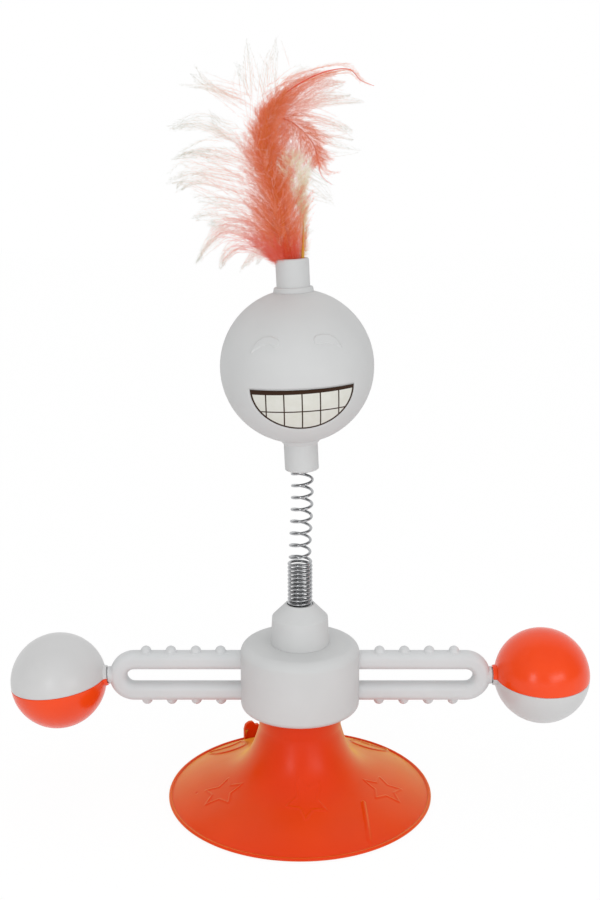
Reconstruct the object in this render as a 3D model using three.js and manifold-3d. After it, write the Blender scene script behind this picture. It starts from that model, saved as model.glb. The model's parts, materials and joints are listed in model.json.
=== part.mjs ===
// A spinning toy for a cat. A suction cup carries a hub on a ball bearing. Two rubber arms with ball ends stand
// out of the hub, and a smiling head with a feather plume sways above it on a coil spring.
// Millimetres, +Z up. The origin is on the spin axis at the foot of the cup, and the face looks towards -Y.
import * as THREE from "three";
import { mergeVertices } from "three/addons/utils/BufferGeometryUtils.js";
import Module from "manifold-3d";

// Clearance between two pieces that touch or lie in each other
const gap = 0.3;
// Clearance of a shell's lip to the curved wall that it lies in
const lipClearance = 0.8;

// Suction cup
const cupRimRadius = 50.7;
const cupLipHeight = 0.9;
const cupLipWidth = 1.6;
const cupFootWidth = 3.4;
const cupDomeHeight = 9.1;
const cupFlareHeight = 19.4;
const cupFlareRun = 5;
const cupNeckRadius = 15.6;
const cupNeckTop = 36;
const cupNeckEdge = 0.8;
const cupChamberHeight = 9.5;
const cupFloorThickness = 4.5;

// Pull tab on the rim of the cup
const tabWidth = 6.5;
const tabHeight = 8.2;
const tabThickness = 1.8;
const tabTipRadius = 2.1;
const tabStepDrop = 1.6;
const tabStepEdge = 0.6;
const tabTipEnd = 25;
const tabInset = 1.9;
const tabBearing = 25;

// Spindle: a barbed plug in the neck of the cup, and a post for the bearing
const plugRadius = 9;
const plugBarbDepth = 1.1;
const plugBarbs = 3;
const spindleNeckRadius = 6;
const spindleNeckClearance = 1.1;

// Ball bearing of the common 8 x 22 x 7 size
const bearingBore = 8;
const bearingOutside = 22;
const bearingWidth = 7;
const racePitchOffset = 0.5;
const bearingBall = 3.97;
const bearingBallCount = 7;
const raceShoulder = 1.45;
const bearingDrop = 13.2;
const cageHeight = 2.5;
const cageWidth = 1.8;

// Screw and washer that hold the bearing on the spindle
const retainerShankRadius = 1.5;
const retainerHeadRadius = 3;
const retainerHeadHeight = 2;
const retainerLength = 9;
const retainerWasherRadius = 5.2;
const retainerWasherThickness = 0.8;

// Cross in the head of a screw, as shares of its radius
const screwCrossReach = 0.6;
const screwCrossWidth = 0.13;

// Hub: a housing that is open below, and the cover that closes it
const hubRadius = 22.5;
const hubEdge = 3.7;
const hubWall = 2.1;
const hubCoverRadius = 17.8;
const bearingSeatWall = 1.6;
const bearingShoulder = 1;

// Screws of the cover, and the bosses that they go into
const coverScrewCircle = 16;
const coverScrewShankRadius = 1;
const coverScrewHeadRadius = 1.9;
const coverScrewHeadHeight = 0.9;
const coverScrewLength = 9;
const coverBossRadius = 2.4;
const coverScrewBearings = [90, 230, 310];

// Arms: rubber loops with rows of nubs
const armReach = 72.3;
const armLegHeight = 6.6;
const armSlot = 5.8;
const armThickness = 7;
const armEdge = 2;
const armHeadroom = 2.2;
const armDrop = 0.5;
const armRootWidth = 11.2;
const armRootThickness = 3.4;
const nubRadius = 2;
const nubHeight = 2.2;
const nubPitch = 9.4;
const nubFirst = 30.1;
const nubCount = 4;
const nubFoot = 1;

// Balls on the ends of the arms
const ballRadius = 18;
const ballWall = 1.6;
const ballStandOff = 1.6;
const ballCollarRadius = 3.9;
const ballCollarLength = 0.8;
const ballLipHeight = 1.5;
const lipWall = 0.9;
const stubRadius = 3.3;
const stubNeckRadius = 2.6;
const stubHeadRadius = 4.4;
const stubHeadLength = 3.4;
const leftBallDroop = 6.2;
const rightBallDroop = 0;
const leftBallRoll = 0;
const rightBallRoll = 5.5;

// Collar that holds the foot of the spring on the hub
const collarRadius = 11;
const collarShoulderRadius = 10.5;
const collarShoulderHeight = 10.5;
const collarHeight = 15.6;
const collarTopRadius = 5.6;
const collarEdge = 0.35;
const collarBoreRadius = 5;
const collarBoreDepth = 7.5;
const collarSpigotRadius = 7.7;
const collarSpigotLength = 4.3;
const collarRingWidth = 1.6;
const collarRingThickness = 1.6;

// Coil spring: close turns in the collar and above it, then open turns up to the head
const wireRadius = 0.53;
const closeCoilRadius = 4.15;
const openCoilRadius = 3.7;
const closePitch = 1.52;
const openPitch = 4.586;
const closeCoilTurns = 15.25;
const openCoilTurns = 7.6;
const topCoilTurns = 2.4;
const coilTransition = 0.5;
const springStartAngle = -58;
const stepsPerCurl = 8;
const wireSides = 5;

// Head: a hollow ball in a front and a rear shell, with a socket below and a feather holder on top
const headFoot = 129;
const headDrift = 0.73;
const headLean = 2.65;
const headTurn = 3.5;
const headRadius = 27.66;
const headWall = 1.8;
const headLipWidth = 3.5;
const socketLength = 10.2;
const socketRadius = 6.2;
const socketRingRadius = 7.3;
const socketRingHeight = 1.3;
const socketBoreRadius = 4.65;
const socketBoreDepth = 9;
const socketEdge = 0.8;
const clampFlangeRadius = 8.6;
const clampFlangeThickness = 1.4;
const holderRadius = 5.97;
const holderRingRadius = 7.2;
const holderRingHeight = 1.8;
const holderLength = 10;
const holderBoreRadius = 4.5;
const holderBoreDepth = 19;
const holderEdge = 0.9;

// Face: a grin on a plate in a shallow recess, and raised eyes
const grinHalfWidth = 18;
const grinTop = -3.9;
const grinDrop = 14.8;
const grinRecess = 1.2;
const grinPlate = 0.8;
const eyeOffset = -1.05;
const eyeRelief = 0.5;
const eyeInner = 5.95;
const eyeOuter = 15.6;
const eyeTop = 14.3;
const eyeTipHeight = 9.2;
const eyeEndHeight = 11;
const eyeWidth = 2.2;

// Plume: quills in a plug of glue in the holder, with the down of each feather as one soft body
const quillRadius = 0.7;
const quillDepth = 14;
const downStart = 1.2;
const tallHeight = 65.5;
const tallWidth = 10.5;
const tallDepth = 4.5;
const curlHeight = 47;
const curlWidth = 7;
const curlDepth = 4;
const creamHeight = 44;
const creamWidth = 6;
const creamDepth = 2.2;
const glueHeight = 8;

// Materials
const orangeRubber = finish(0xdc4118, 0.45, 0);
const whiteRubber = finish(0xd6d6d6, 0.5, 0);
const whitePlastic = finish(0xd2d2d2, 0.35, 0);
const orangePlastic = finish(0xe8512f, 0.3, 0);
const greyPlastic = finish(0x8c8f92, 0.5, 0);
const steel = finish(0x9a9c9e, 0.3, 1);
const toothWhite = finish(0xe0e0d4, 0.45, 0);
const coralDown = finish(0xe8745c, 0.9, 0);
const creamDown = finish(0xefe6d2, 0.9, 0);
const clearGlue = finish(0xd8cfae, 0.3, 0);

function finish(color, roughness, metalness) {
  return new THREE.MeshStandardMaterial({ color, roughness, metalness });
}

const wasm = await Module();
wasm.setup();

const radians = THREE.MathUtils.degToRad;

/** A closed geometry as a solid that can be joined and cut. */
function solid(geometry) {
  const bare = geometry.index ? geometry.toNonIndexed() : geometry.clone();
  bare.deleteAttribute("normal");
  bare.deleteAttribute("uv");
  const merged = mergeVertices(bare, 1e-4);
  const corners = merged.index.array;
  const kept = [];
  for (let i = 0; i < corners.length; i += 3) {
    const [a, b, c] = corners.slice(i, i + 3);
    if (a !== b && b !== c && c !== a) kept.push(a, b, c);
  }
  const vertProperties = merged.attributes.position.array;
  return new wasm.Manifold(new wasm.Mesh({ numProp: 3, vertProperties, triVerts: new Uint32Array(kept) }));
}

/** A solid as a geometry. */
function surface(shape) {
  const mesh = shape.getMesh();
  const geometry = new THREE.BufferGeometry();
  geometry.setAttribute("position", new THREE.BufferAttribute(new Float32Array(mesh.vertProperties), 3));
  geometry.setIndex(new THREE.BufferAttribute(new Uint32Array(mesh.triVerts), 1));
  geometry.computeVertexNormals();
  return geometry;
}

function join(first, ...others) {
  return others.reduce((sum, other) => sum.add(solid(other)), solid(first));
}

function cut(shape, ...tools) {
  return tools.reduce((rest, tool) => rest.subtract(solid(tool)), shape);
}

/** Adds a named piece to a group. */
function place(group, name, shape, material) {
  const mesh = new THREE.Mesh(shape.isBufferGeometry ? shape : surface(shape), material);
  mesh.name = name;
  group.add(mesh);
}

/** A piece turned about Z. Its outline of [radius, height] pairs ends on the axis or closes on itself. */
function turned(outline, segments) {
  const onAxis = outline[0][0] === 0 && outline.at(-1)[0] === 0;
  const loop = onAxis ? outline : [...outline, outline[0]];
  const area = loop.reduce((sum, [r, z], i) => {
    const [nextR, nextZ] = loop[(i + 1) % loop.length];
    return sum + r * nextZ - nextR * z;
  }, 0);
  const ordered = area > 0 ? loop : [...loop].reverse();
  const points = ordered.map(([r, z]) => new THREE.Vector2(r, z));
  return new THREE.LatheGeometry(points, segments).rotateX(Math.PI / 2);
}

/** Outline points on an arc, from one angle to another in degrees. */
function arc(r, z, radius, from, to, steps) {
  return Array.from({ length: steps + 1 }, (_, i) => {
    const angle = radians(from + ((to - from) * i) / steps);
    return [r + radius * Math.cos(angle), z + radius * Math.sin(angle)];
  });
}

/** A flat outline through points given as pairs. */
function shapeOf(pairs) {
  return new THREE.Shape(pairs.map(([x, y]) => new THREE.Vector2(x, y)));
}

function rod(radius, low, high, segments = 12) {
  return turned([[0, low], [radius, low], [radius, high], [0, high]], segments);
}

function tube(inner, outer, low, high, segments = 18) {
  return turned([[inner, low], [outer, low], [outer, high], [inner, high]], segments);
}

/** A box from its lowest to its highest corner. */
function block(low, high) {
  const size = high.map((value, axis) => value - low[axis]);
  const centre = high.map((value, axis) => (value + low[axis]) / 2);
  return new THREE.BoxGeometry(...size).translate(...centre);
}

const toy = new THREE.Group();
const base = new THREE.Group();
const hub = new THREE.Group();
toy.add(base, hub);

// Levels that several pieces share
const chamberRadius = cupRimRadius - cupFootWidth;
const socketFloor = cupChamberHeight + cupFloorThickness;
const armTurn = armSlot / 2 + armLegHeight;
const hubBottom = cupNeckTop + gap;
const hubTop = hubBottom + 2 * armTurn + armHeadroom + 2 * hubWall;
const armHeight = hubBottom + hubWall + armHeadroom / 2 + armTurn - armDrop;
const hubCeiling = hubTop - hubWall;
const hubInside = hubRadius - hubWall;
const bearingMiddle = hubTop - bearingDrop;
const bearingBottom = bearingMiddle - bearingWidth / 2;
const bearingTop = bearingMiddle + bearingWidth / 2;
const seatInside = bearingOutside / 2 + gap;
const seatOutside = seatInside + bearingSeatWall;
const coverTop = hubBottom + hubWall;

/** Height of the top of the cup at a radius: a low dome, and a flare that climbs to the neck. */
function cupTop(radius) {
  const dome = cupDomeHeight * (1 - (radius / cupRimRadius) ** 3);
  return dome + cupFlareHeight * Math.exp((cupNeckRadius - radius) / cupFlareRun);
}

/** Height of the hollow under the cup at a radius. */
function cupHollow(radius) {
  return cupChamberHeight * (1 - (radius / chamberRadius) ** 2);
}

function suctionCup() {
  const plugHole = plugRadius + gap;
  const lipInside = cupRimRadius - cupLipWidth;
  const steps = 8;
  const flare = Array.from({ length: steps }, (_, i) => {
    const radius = cupNeckRadius + (lipInside - cupNeckRadius) * (i / steps) ** 1.5;
    return [radius, cupTop(radius)];
  });
  const hollow = [1, 0.75, 0.45].map((share) => [chamberRadius * share, cupHollow(chamberRadius * share)]);
  const body = turned(
    [
      [0, cupChamberHeight],
      ...hollow.reverse(),
      [cupRimRadius - cupLipHeight / 2, 0],
      ...arc(cupRimRadius - cupLipHeight / 2, cupLipHeight / 2, cupLipHeight / 2, -45, 90, 3),
      ...flare.reverse(),
      [cupNeckRadius, cupNeckTop - cupNeckEdge],
      [cupNeckRadius - cupNeckEdge, cupNeckTop],
      [plugHole, cupNeckTop],
      [plugHole, socketFloor],
      [0, socketFloor],
    ],
    34,
  );
  return join(body, pullTab());
}

/** The tab that lifts the rim, with a round tip and a lower step beside it. */
function pullTab() {
  const half = tabWidth / 2;
  const tip = half - tabTipRadius;
  const step = tabHeight - tabStepDrop;
  const foot = (2 / 3) * cupLipHeight;
  const outline = shapeOf([
    [-half, foot],
    ...arc(-tip, tabHeight - tabTipRadius, tabTipRadius, 180, tabTipEnd, 6),
    [half - tabStepEdge, step],
    [half, step - tabStepEdge],
    [half, foot],
  ]);
  return new THREE.ExtrudeGeometry(outline, { depth: tabThickness, bevelEnabled: false })
    .rotateX(Math.PI / 2)
    .translate(0, cupRimRadius - tabInset, 0)
    .rotateZ(radians(tabBearing));
}

place(base, "suction_cup", suctionCup(), orangeRubber);

function spindle() {
  const foot = socketFloor + gap;
  const core = plugRadius - plugBarbDepth;
  const pitch = (cupNeckTop - foot) / plugBarbs;
  const barbs = Array.from({ length: plugBarbs }, (_, i) => foot + i * pitch).flatMap((z) => [
    [core, z],
    [plugRadius, z + pitch * 0.7],
    [plugRadius, z + pitch * 0.85],
    [core, z + pitch * 0.85],
  ]);
  const post = bearingBore / 2 - gap;
  const hole = retainerShankRadius + gap;
  const end = bearingTop - gap;
  return turned(
    [
      [0, foot],
      ...barbs,
      [core, cupNeckTop],
      [spindleNeckRadius, cupNeckTop],
      [spindleNeckRadius, bearingBottom - gap],
      [post, bearingBottom - gap],
      [post, end],
      [hole, end],
      [hole, bearingTop - retainerLength - 2 * gap],
      [0, bearingTop - retainerLength - 2 * gap],
    ],
    12,
  );
}

place(base, "spindle", spindle(), greyPlastic);

// Ball bearing, between the spindle and the hub
const pitchRadius = ((bearingBore + bearingOutside) / 2 + racePitchOffset) / 2;
const grooveRadius = bearingBall / 2 + gap;
const grooveAngle = THREE.MathUtils.radToDeg(Math.acos(raceShoulder / grooveRadius));
const halfWidth = bearingWidth / 2;

function raceAt(backRadius, shoulderRadius, from, to) {
  const groove = arc(pitchRadius, 0, grooveRadius, from, to, 4);
  return turned(
    [
      [backRadius, -halfWidth],
      [shoulderRadius, -halfWidth],
      ...groove,
      [shoulderRadius, halfWidth],
      [backRadius, halfWidth],
    ],
    18,
  ).translate(0, 0, bearingMiddle);
}

function ballPlace(index) {
  const angle = (2 * Math.PI * index) / bearingBallCount;
  return [pitchRadius * Math.cos(angle), pitchRadius * Math.sin(angle), bearingMiddle];
}

function bearingCage() {
  const low = bearingMiddle + gap;
  const ring = tube(pitchRadius - cageWidth / 2, pitchRadius + cageWidth / 2, low, low + cageHeight, 21);
  const pockets = Array.from({ length: bearingBallCount }, (_, i) =>
    new THREE.SphereGeometry(grooveRadius, 8, 6).translate(...ballPlace(i)),
  );
  return cut(solid(ring), ...pockets);
}

const innerShoulder = pitchRadius - raceShoulder;
const outerShoulder = pitchRadius + raceShoulder;
place(base, "bearing_inner_race", raceAt(bearingBore / 2, innerShoulder, 180 + grooveAngle, 180 - grooveAngle), steel);
place(hub, "bearing_outer_race", raceAt(bearingOutside / 2, outerShoulder, -grooveAngle, grooveAngle), steel);
place(hub, "bearing_cage", bearingCage(), greyPlastic);
for (let i = 0; i < bearingBallCount; i++) {
  const ball = new THREE.SphereGeometry(bearingBall / 2, 8, 6).translate(...ballPlace(i));
  place(hub, `bearing_ball_${i + 1}`, ball, steel);
}

// Washer and screw on top of the spindle
const washerBottom = bearingTop + gap;
const retainerSeat = washerBottom + retainerWasherThickness + gap;

/** A screw whose head stands on the seat and whose shank goes down, with a cross in its head. */
function screw(headRadius, headHeight, shankRadius, length) {
  const dome = headHeight / 3;
  const body = turned(
    [
      [0, -length],
      [shankRadius, -length],
      [shankRadius, 0],
      [headRadius, 0],
      [headRadius, headHeight - dome],
      [headRadius - dome, headHeight],
      [0, headHeight],
    ],
    10,
  );
  const arm = headRadius * screwCrossReach;
  const slot = headRadius * screwCrossWidth;
  const floor = headHeight / 2;
  return cut(
    solid(body),
    block([-arm, -slot, floor], [arm, slot, headHeight + 1]),
    block([-slot, -arm, floor], [slot, arm, headHeight + 1]),
  );
}

const washerHole = retainerShankRadius + gap;
const washerTop = washerBottom + retainerWasherThickness;
place(base, "retaining_washer", tube(washerHole, retainerWasherRadius, washerBottom, washerTop, 16), steel);
const retainer = screw(retainerHeadRadius, retainerHeadHeight, retainerShankRadius, retainerLength);
place(base, "retaining_screw", surface(retainer).translate(0, 0, retainerSeat), steel);

// Arms, each in a group whose +X points out along it
const armBend = armReach - armTurn;
const rootInside = Math.sqrt((hubInside - gap) ** 2 - (armRootWidth / 2) ** 2) - armRootThickness;
const ballCentre = ballStandOff + ballRadius;

function armGroup(turn, droop, roll) {
  const arm = new THREE.Group();
  arm.position.z = armHeight;
  arm.rotation.z = radians(turn);
  const ball = new THREE.Group();
  ball.position.x = armReach;
  ball.rotation.y = radians(droop);
  const rolled = new THREE.Group();
  rolled.position.x = ballCentre;
  rolled.rotation.x = radians(roll);
  hub.add(arm);
  arm.add(ball);
  ball.add(rolled);
  return { arm, rolled };
}

/** A rubber loop with nubs, the root that holds it in the hub, and the stub that the ball turns on. */
function rubberArm(droop) {
  const slotStart = rootInside + armRootThickness;
  const loopStart = slotStart - 2 * armEdge - gap;
  const outline = shapeOf([
    [loopStart, -armTurn],
    ...arc(armBend, 0, armTurn, -90, 90, 12),
    [loopStart, armTurn],
  ]);
  const slot = shapeOf([
    [slotStart, -armSlot / 2],
    ...arc(armBend, 0, armSlot / 2, -90, 90, 8),
    [slotStart, armSlot / 2],
  ]);
  outline.holes.push(slot);
  const loop = new THREE.ExtrudeGeometry(outline, {
    depth: armThickness - 2 * armEdge,
    bevelThickness: armEdge,
    bevelSize: armEdge,
    bevelOffset: -armEdge,
    bevelSegments: 2,
  })
    .translate(0, 0, armEdge - armThickness / 2)
    .rotateX(Math.PI / 2);
  const half = armRootWidth / 2;
  const root = block([rootInside, -half, -armTurn], [slotStart, half, armTurn]);
  const shoulder = nubHeight / 2;
  const nubOutline = [
    [0, -nubFoot],
    [nubRadius, -nubFoot],
    [nubRadius, shoulder],
    [nubRadius * (3 / 4), nubHeight - shoulder / 4],
    [0, nubHeight],
  ];
  const nubs = [];
  for (let i = 0; i < nubCount; i++) {
    const nub = turned(nubOutline, 8).translate(0, 0, armTurn);
    const along = nubFirst + i * nubPitch;
    nubs.push(nub.clone().translate(along, 0, 0), nub.rotateX(Math.PI).translate(along, 0, 0));
  }
  return join(loop, root, ...nubs, stub(droop));
}

/** The stub: it leaves the arm, passes through the wall of the ball and ends in a head that the ball can't leave. */
function stub(droop) {
  const inside = ballRadius - ballWall;
  const collarEnd = -(ballRadius + ballCollarLength + gap);
  const head = 2 * gap - Math.sqrt(inside ** 2 - stubHeadRadius ** 2);
  return turned(
    [
      [0, -ballCentre - 3],
      [stubRadius, -ballCentre - 3],
      [stubRadius, collarEnd],
      [stubNeckRadius, collarEnd],
      [stubNeckRadius, head],
      [stubHeadRadius, head],
      [stubHeadRadius, head + stubHeadLength / 3],
      [stubNeckRadius, head + stubHeadLength],
      [0, head + stubHeadLength],
    ],
    12,
  )
    .rotateY(Math.PI / 2)
    .translate(ballCentre, 0, 0)
    .rotateY(radians(droop))
    .translate(armReach, 0, 0);
}

/** A hollow ball about X, with a collar round the hole for the stub on its -X side. */
function hollowBall() {
  const inside = ballRadius - ballWall;
  const hole = stubNeckRadius + gap;
  const edge = THREE.MathUtils.radToDeg(Math.acos(ballCollarRadius / ballRadius));
  const innerEdge = THREE.MathUtils.radToDeg(Math.acos(hole / inside));
  const end = -(ballRadius + ballCollarLength);
  const shell = [
    [0, ballRadius],
    ...arc(0, 0, ballRadius, 76, -edge, 8),
    [ballCollarRadius - 0.4, end],
    [hole, end],
    ...arc(0, 0, inside, -innerEdge, 72, 7),
    [0, inside],
  ];
  return solid(turned(shell, 20).rotateY(Math.PI / 2));
}

/** The two shells of a ball, with a lip on the lower one that lies inside the upper one. */
function ballShells() {
  const far = 2 * ballRadius;
  const upperSide = solid(block([-far, -far, gap / 2], [far, far, far]));
  const lowerSide = solid(block([-far, -far, -far], [far, far, -gap / 2]));
  const lipOutside = ballRadius - ballWall - lipClearance;
  const lipInside = lipOutside - lipWall;
  const lipFoot = lipOutside + lipClearance + gap;
  const lip = turned(
    [
      [lipInside, -2 * ballLipHeight],
      [lipFoot, -2 * ballLipHeight],
      [lipFoot, -ballLipHeight],
      [lipOutside, -gap],
      [lipOutside, ballLipHeight],
      [lipInside, ballLipHeight],
    ],
    20,
  );
  const passage = rod(stubHeadRadius + 2 * gap, -far, 0).rotateY(Math.PI / 2);
  const whole = hollowBall();
  const ring = cut(solid(lip), passage);
  return { upper: whole.intersect(upperSide), lower: whole.intersect(lowerSide).add(ring) };
}

const shells = ballShells();
const sides = [
  { side: "left", turn: 180, droop: leftBallDroop, roll: leftBallRoll, top: whitePlastic, under: orangePlastic },
  { side: "right", turn: 0, droop: rightBallDroop, roll: rightBallRoll, top: orangePlastic, under: whitePlastic },
];
for (const { side, turn, droop, roll, top, under } of sides) {
  const { arm, rolled } = armGroup(turn, droop, roll);
  place(arm, `arm_${side}`, rubberArm(droop), whiteRubber);
  place(rolled, `ball_${side}_upper_shell`, shells.upper, top);
  place(rolled, `ball_${side}_lower_shell`, shells.lower, under);
}

// Hub housing, with windows for the legs of the arms and bosses for the screws of the cover
function hubHousing() {
  const collarHole = collarSpigotRadius + gap;
  const coverHole = hubCoverRadius + gap;
  const shell = turned(
    [
      [collarHole, hubTop],
      ...arc(hubRadius - hubEdge, hubTop - hubEdge, hubEdge, 90, 0, 3),
      ...arc(hubRadius - hubEdge, hubBottom + hubEdge, hubEdge, 0, -90, 3),
      [coverHole, hubBottom],
      [coverHole, coverTop],
      [hubInside, coverTop],
      [hubInside, hubCeiling],
      [seatOutside, hubCeiling],
      [seatOutside, bearingBottom],
      [seatInside, bearingBottom],
      [seatInside, bearingTop + gap],
      [bearingOutside / 2 - bearingShoulder, bearingTop + gap],
      [bearingOutside / 2 - bearingShoulder, hubCeiling],
      [collarHole, hubCeiling],
    ],
    28,
  );
  const bosses = coverScrewBearings.map((bearing) =>
    rod(coverBossRadius, coverTop + gap, hubCeiling + hubWall / 2, 8).translate(...coverScrewPlace(bearing)),
  );
  const pilots = coverScrewBearings.map((bearing) =>
    rod(coverScrewShankRadius + gap, coverTop, coverTop + coverScrewLength, 6).translate(...coverScrewPlace(bearing)),
  );
  const legMiddle = (armSlot + armLegHeight) / 2;
  const high = armLegHeight / 2 + gap;
  const wide = armThickness / 2 + gap;
  const windows = [-1, 1].flatMap((side) =>
    [-legMiddle, legMiddle].map((z) => {
      const ends = [side * (hubInside - hubWall), side * (hubRadius + hubWall)].sort((a, b) => a - b);
      return block([ends[0], -wide, armHeight + z - high], [ends[1], wide, armHeight + z + high]);
    }),
  );
  return cut(join(shell, ...bosses), ...pilots, ...windows);
}

function coverScrewPlace(bearing) {
  const angle = radians(bearing);
  return [coverScrewCircle * Math.cos(angle), coverScrewCircle * Math.sin(angle), 0];
}

function hubCover() {
  const hole = spindleNeckRadius + spindleNeckClearance;
  const plate = turned(
    [
      [hole, hubBottom],
      [hubCoverRadius, hubBottom],
      [hubCoverRadius, coverTop],
      [seatOutside, coverTop],
      [seatOutside, bearingBottom - gap],
      [bearingOutside / 2 - bearingShoulder, bearingBottom - gap],
      [bearingOutside / 2 - bearingShoulder, coverTop],
      [hole, coverTop],
    ],
    20,
  );
  const holes = coverScrewBearings.flatMap((bearing) => [
    rod(coverScrewShankRadius + gap, hubBottom - hubWall, coverTop + hubWall, 8).translate(...coverScrewPlace(bearing)),
    rod(coverScrewHeadRadius + gap, hubBottom - hubWall, hubBottom + coverScrewHeadHeight + gap, 10).translate(
      ...coverScrewPlace(bearing),
    ),
  ]);
  return cut(solid(plate), ...holes);
}

place(hub, "hub_housing", hubHousing(), whitePlastic);
place(hub, "hub_bottom_cover", hubCover(), whitePlastic);
const coverScrew = screw(coverScrewHeadRadius, coverScrewHeadHeight, coverScrewShankRadius, coverScrewLength);
coverScrewBearings.forEach((bearing, i) => {
  const [x, y] = coverScrewPlace(bearing);
  const shape = surface(coverScrew)
    .rotateX(Math.PI)
    .translate(x, y, hubBottom + coverScrewHeadHeight);
  place(hub, `cover_screw_${i + 1}`, shape, steel);
});

// Collar on top of the hub, with a ring that holds its spigot from inside
const collarSeat = hubTop + gap;
const collarTop = hubTop + collarHeight;
const collarBoreFloor = collarTop - collarBoreDepth;

function springCollar() {
  return turned(
    [
      [0, hubTop - collarSpigotLength],
      [collarSpigotRadius, hubTop - collarSpigotLength],
      [collarSpigotRadius, collarSeat],
      [collarRadius, collarSeat],
      [collarShoulderRadius, hubTop + collarShoulderHeight - collarEdge],
      [collarShoulderRadius - collarEdge, hubTop + collarShoulderHeight],
      [collarTopRadius, collarTop],
      [collarBoreRadius, collarTop],
      [collarBoreRadius, collarBoreFloor],
      [0, collarBoreFloor],
    ],
    24,
  );
}

const ringInside = collarSpigotRadius + gap;
const ringTop = hubCeiling - gap;
place(hub, "spring_collar", springCollar(), whitePlastic);
place(
  hub,
  "collar_ring",
  tube(ringInside, ringInside + collarRingWidth, ringTop - collarRingThickness, ringTop),
  greyPlastic,
);

// Spring
const lean = radians(headLean);
const openStart = collarBoreFloor + gap + wireRadius + closeCoilTurns * closePitch;

/** Middle of the coil at a height, and the direction it runs in: upright, then drawn over to the leaning head. */
function coilAxis(height) {
  const span = headFoot - openStart;
  const t = Math.max(0, (height - openStart) / span);
  if (t >= 1) {
    const past = height - headFoot;
    return { x: headDrift - past * Math.tan(lean), slope: -Math.tan(lean) };
  }
  const endSlope = -Math.tan(lean) * span;
  const x = headDrift * (3 * t ** 2 - 2 * t ** 3) + endSlope * (t ** 3 - t ** 2);
  const slope = (headDrift * (6 * t - 6 * t ** 2) + endSlope * (3 * t ** 2 - 2 * t)) / span;
  return { x, slope };
}

/** The middle line of the wire, turn by turn. */
function coilPath() {
  const openTurn = closeCoilTurns + 0.1;
  const topTurn = closeCoilTurns + openCoilTurns;
  const turns = topTurn + topCoilTurns;
  const count = Math.round(turns * stepsPerCurl);
  const points = [];
  let height = collarBoreFloor + gap + wireRadius;
  for (let i = 0; i <= count; i++) {
    const turn = i / stepsPerCurl;
    const opened = THREE.MathUtils.smoothstep(turn, openTurn - coilTransition, openTurn + coilTransition);
    const closed = THREE.MathUtils.smoothstep(turn, topTurn, topTurn + coilTransition);
    const pitch = closePitch + (openPitch - closePitch) * (opened - closed);
    const radius = closeCoilRadius + (openCoilRadius - closeCoilRadius) * opened;
    const angle = radians(springStartAngle) + 2 * Math.PI * turn;
    const { x, slope } = coilAxis(height);
    const tilt = Math.atan(slope);
    const across = radius * Math.cos(angle);
    points.push(
      new THREE.Vector3(x + across * Math.cos(tilt), radius * Math.sin(angle), height - across * Math.sin(tilt)),
    );
    height += pitch / stepsPerCurl;
  }
  const straight = 2 * wireRadius;
  const first = points[0].clone().sub(points[1]).setLength(straight).setZ(0).add(points[0]);
  const last = points.at(-1).clone().sub(points.at(-2)).setLength(straight).setZ(0).add(points.at(-1));
  return [first, ...points, last];
}

/** A closed tube along a path of points, with flat ends. */
function wireAlong(path) {
  const positions = [];
  const triangles = [];
  const up = new THREE.Vector3(0, 0, 1);
  path.forEach((point, i) => {
    const before = path[Math.max(i - 1, 0)];
    const after = path[Math.min(i + 1, path.length - 1)];
    const along = after.clone().sub(before).normalize();
    const side = new THREE.Vector3().crossVectors(along, up).normalize();
    const over = new THREE.Vector3().crossVectors(side, along);
    for (let k = 0; k < wireSides; k++) {
      const angle = (2 * Math.PI * k) / wireSides;
      const corner = point
        .clone()
        .addScaledVector(side, wireRadius * Math.cos(angle))
        .addScaledVector(over, wireRadius * Math.sin(angle));
      positions.push(...corner);
      if (i === path.length - 1) continue;
      const here = i * wireSides + k;
      const beside = i * wireSides + ((k + 1) % wireSides);
      triangles.push(here, here + wireSides, beside, beside, here + wireSides, beside + wireSides);
    }
  });
  const end = (path.length - 1) * wireSides;
  for (let k = 1; k < wireSides - 1; k++) {
    triangles.push(0, k, k + 1, end, end + k + 1, end + k);
  }
  const geometry = new THREE.BufferGeometry();
  geometry.setAttribute("position", new THREE.Float32BufferAttribute(positions, 3));
  geometry.setIndex(triangles);
  geometry.computeVertexNormals();
  return geometry;
}

/** Least distance between two stretches of the wire that are more than half a turn apart. */
function leastGap(path) {
  const fine = path.slice(0, -1).flatMap((point, i) => [0, 1 / 3, 2 / 3].map((t) => point.clone().lerp(path[i + 1], t)));
  const apart = Math.round(stepsPerCurl * 3 * 0.6);
  let least = Infinity;
  fine.forEach((point, i) => {
    for (let j = i + apart; j < Math.min(fine.length, i + 3 * apart); j++) {
      least = Math.min(least, point.distanceTo(fine[j]));
    }
  });
  return least - 2 * wireRadius;
}

const coil = coilPath();
console.log(`least gap of the spring to itself: ${leastGap(coil).toFixed(2)} mm`);
place(hub, "spring", wireAlong(coil), steel);

// Head, in a group that leans with the top of the spring
const neck = new THREE.Group();
neck.position.set(headDrift, 0, headFoot);
neck.rotation.y = -lean;
const head = new THREE.Group();
head.position.z = socketLength + Math.sqrt(headRadius ** 2 - socketRingRadius ** 2) + socketRingHeight;
head.rotation.z = radians(headTurn);
toy.add(neck);
neck.add(head);

const headInside = headRadius - headWall;
const socketFoot = -head.position.z;
const socketRingTop = -Math.sqrt(headRadius ** 2 - socketRingRadius ** 2);
const holderRingFoot = Math.sqrt(headRadius ** 2 - holderRingRadius ** 2);
const holderTop = holderRingFoot + holderRingHeight + holderLength;
const flangeLevel = Math.sqrt(headInside ** 2 - clampFlangeRadius ** 2) - 2 * gap;

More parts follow.
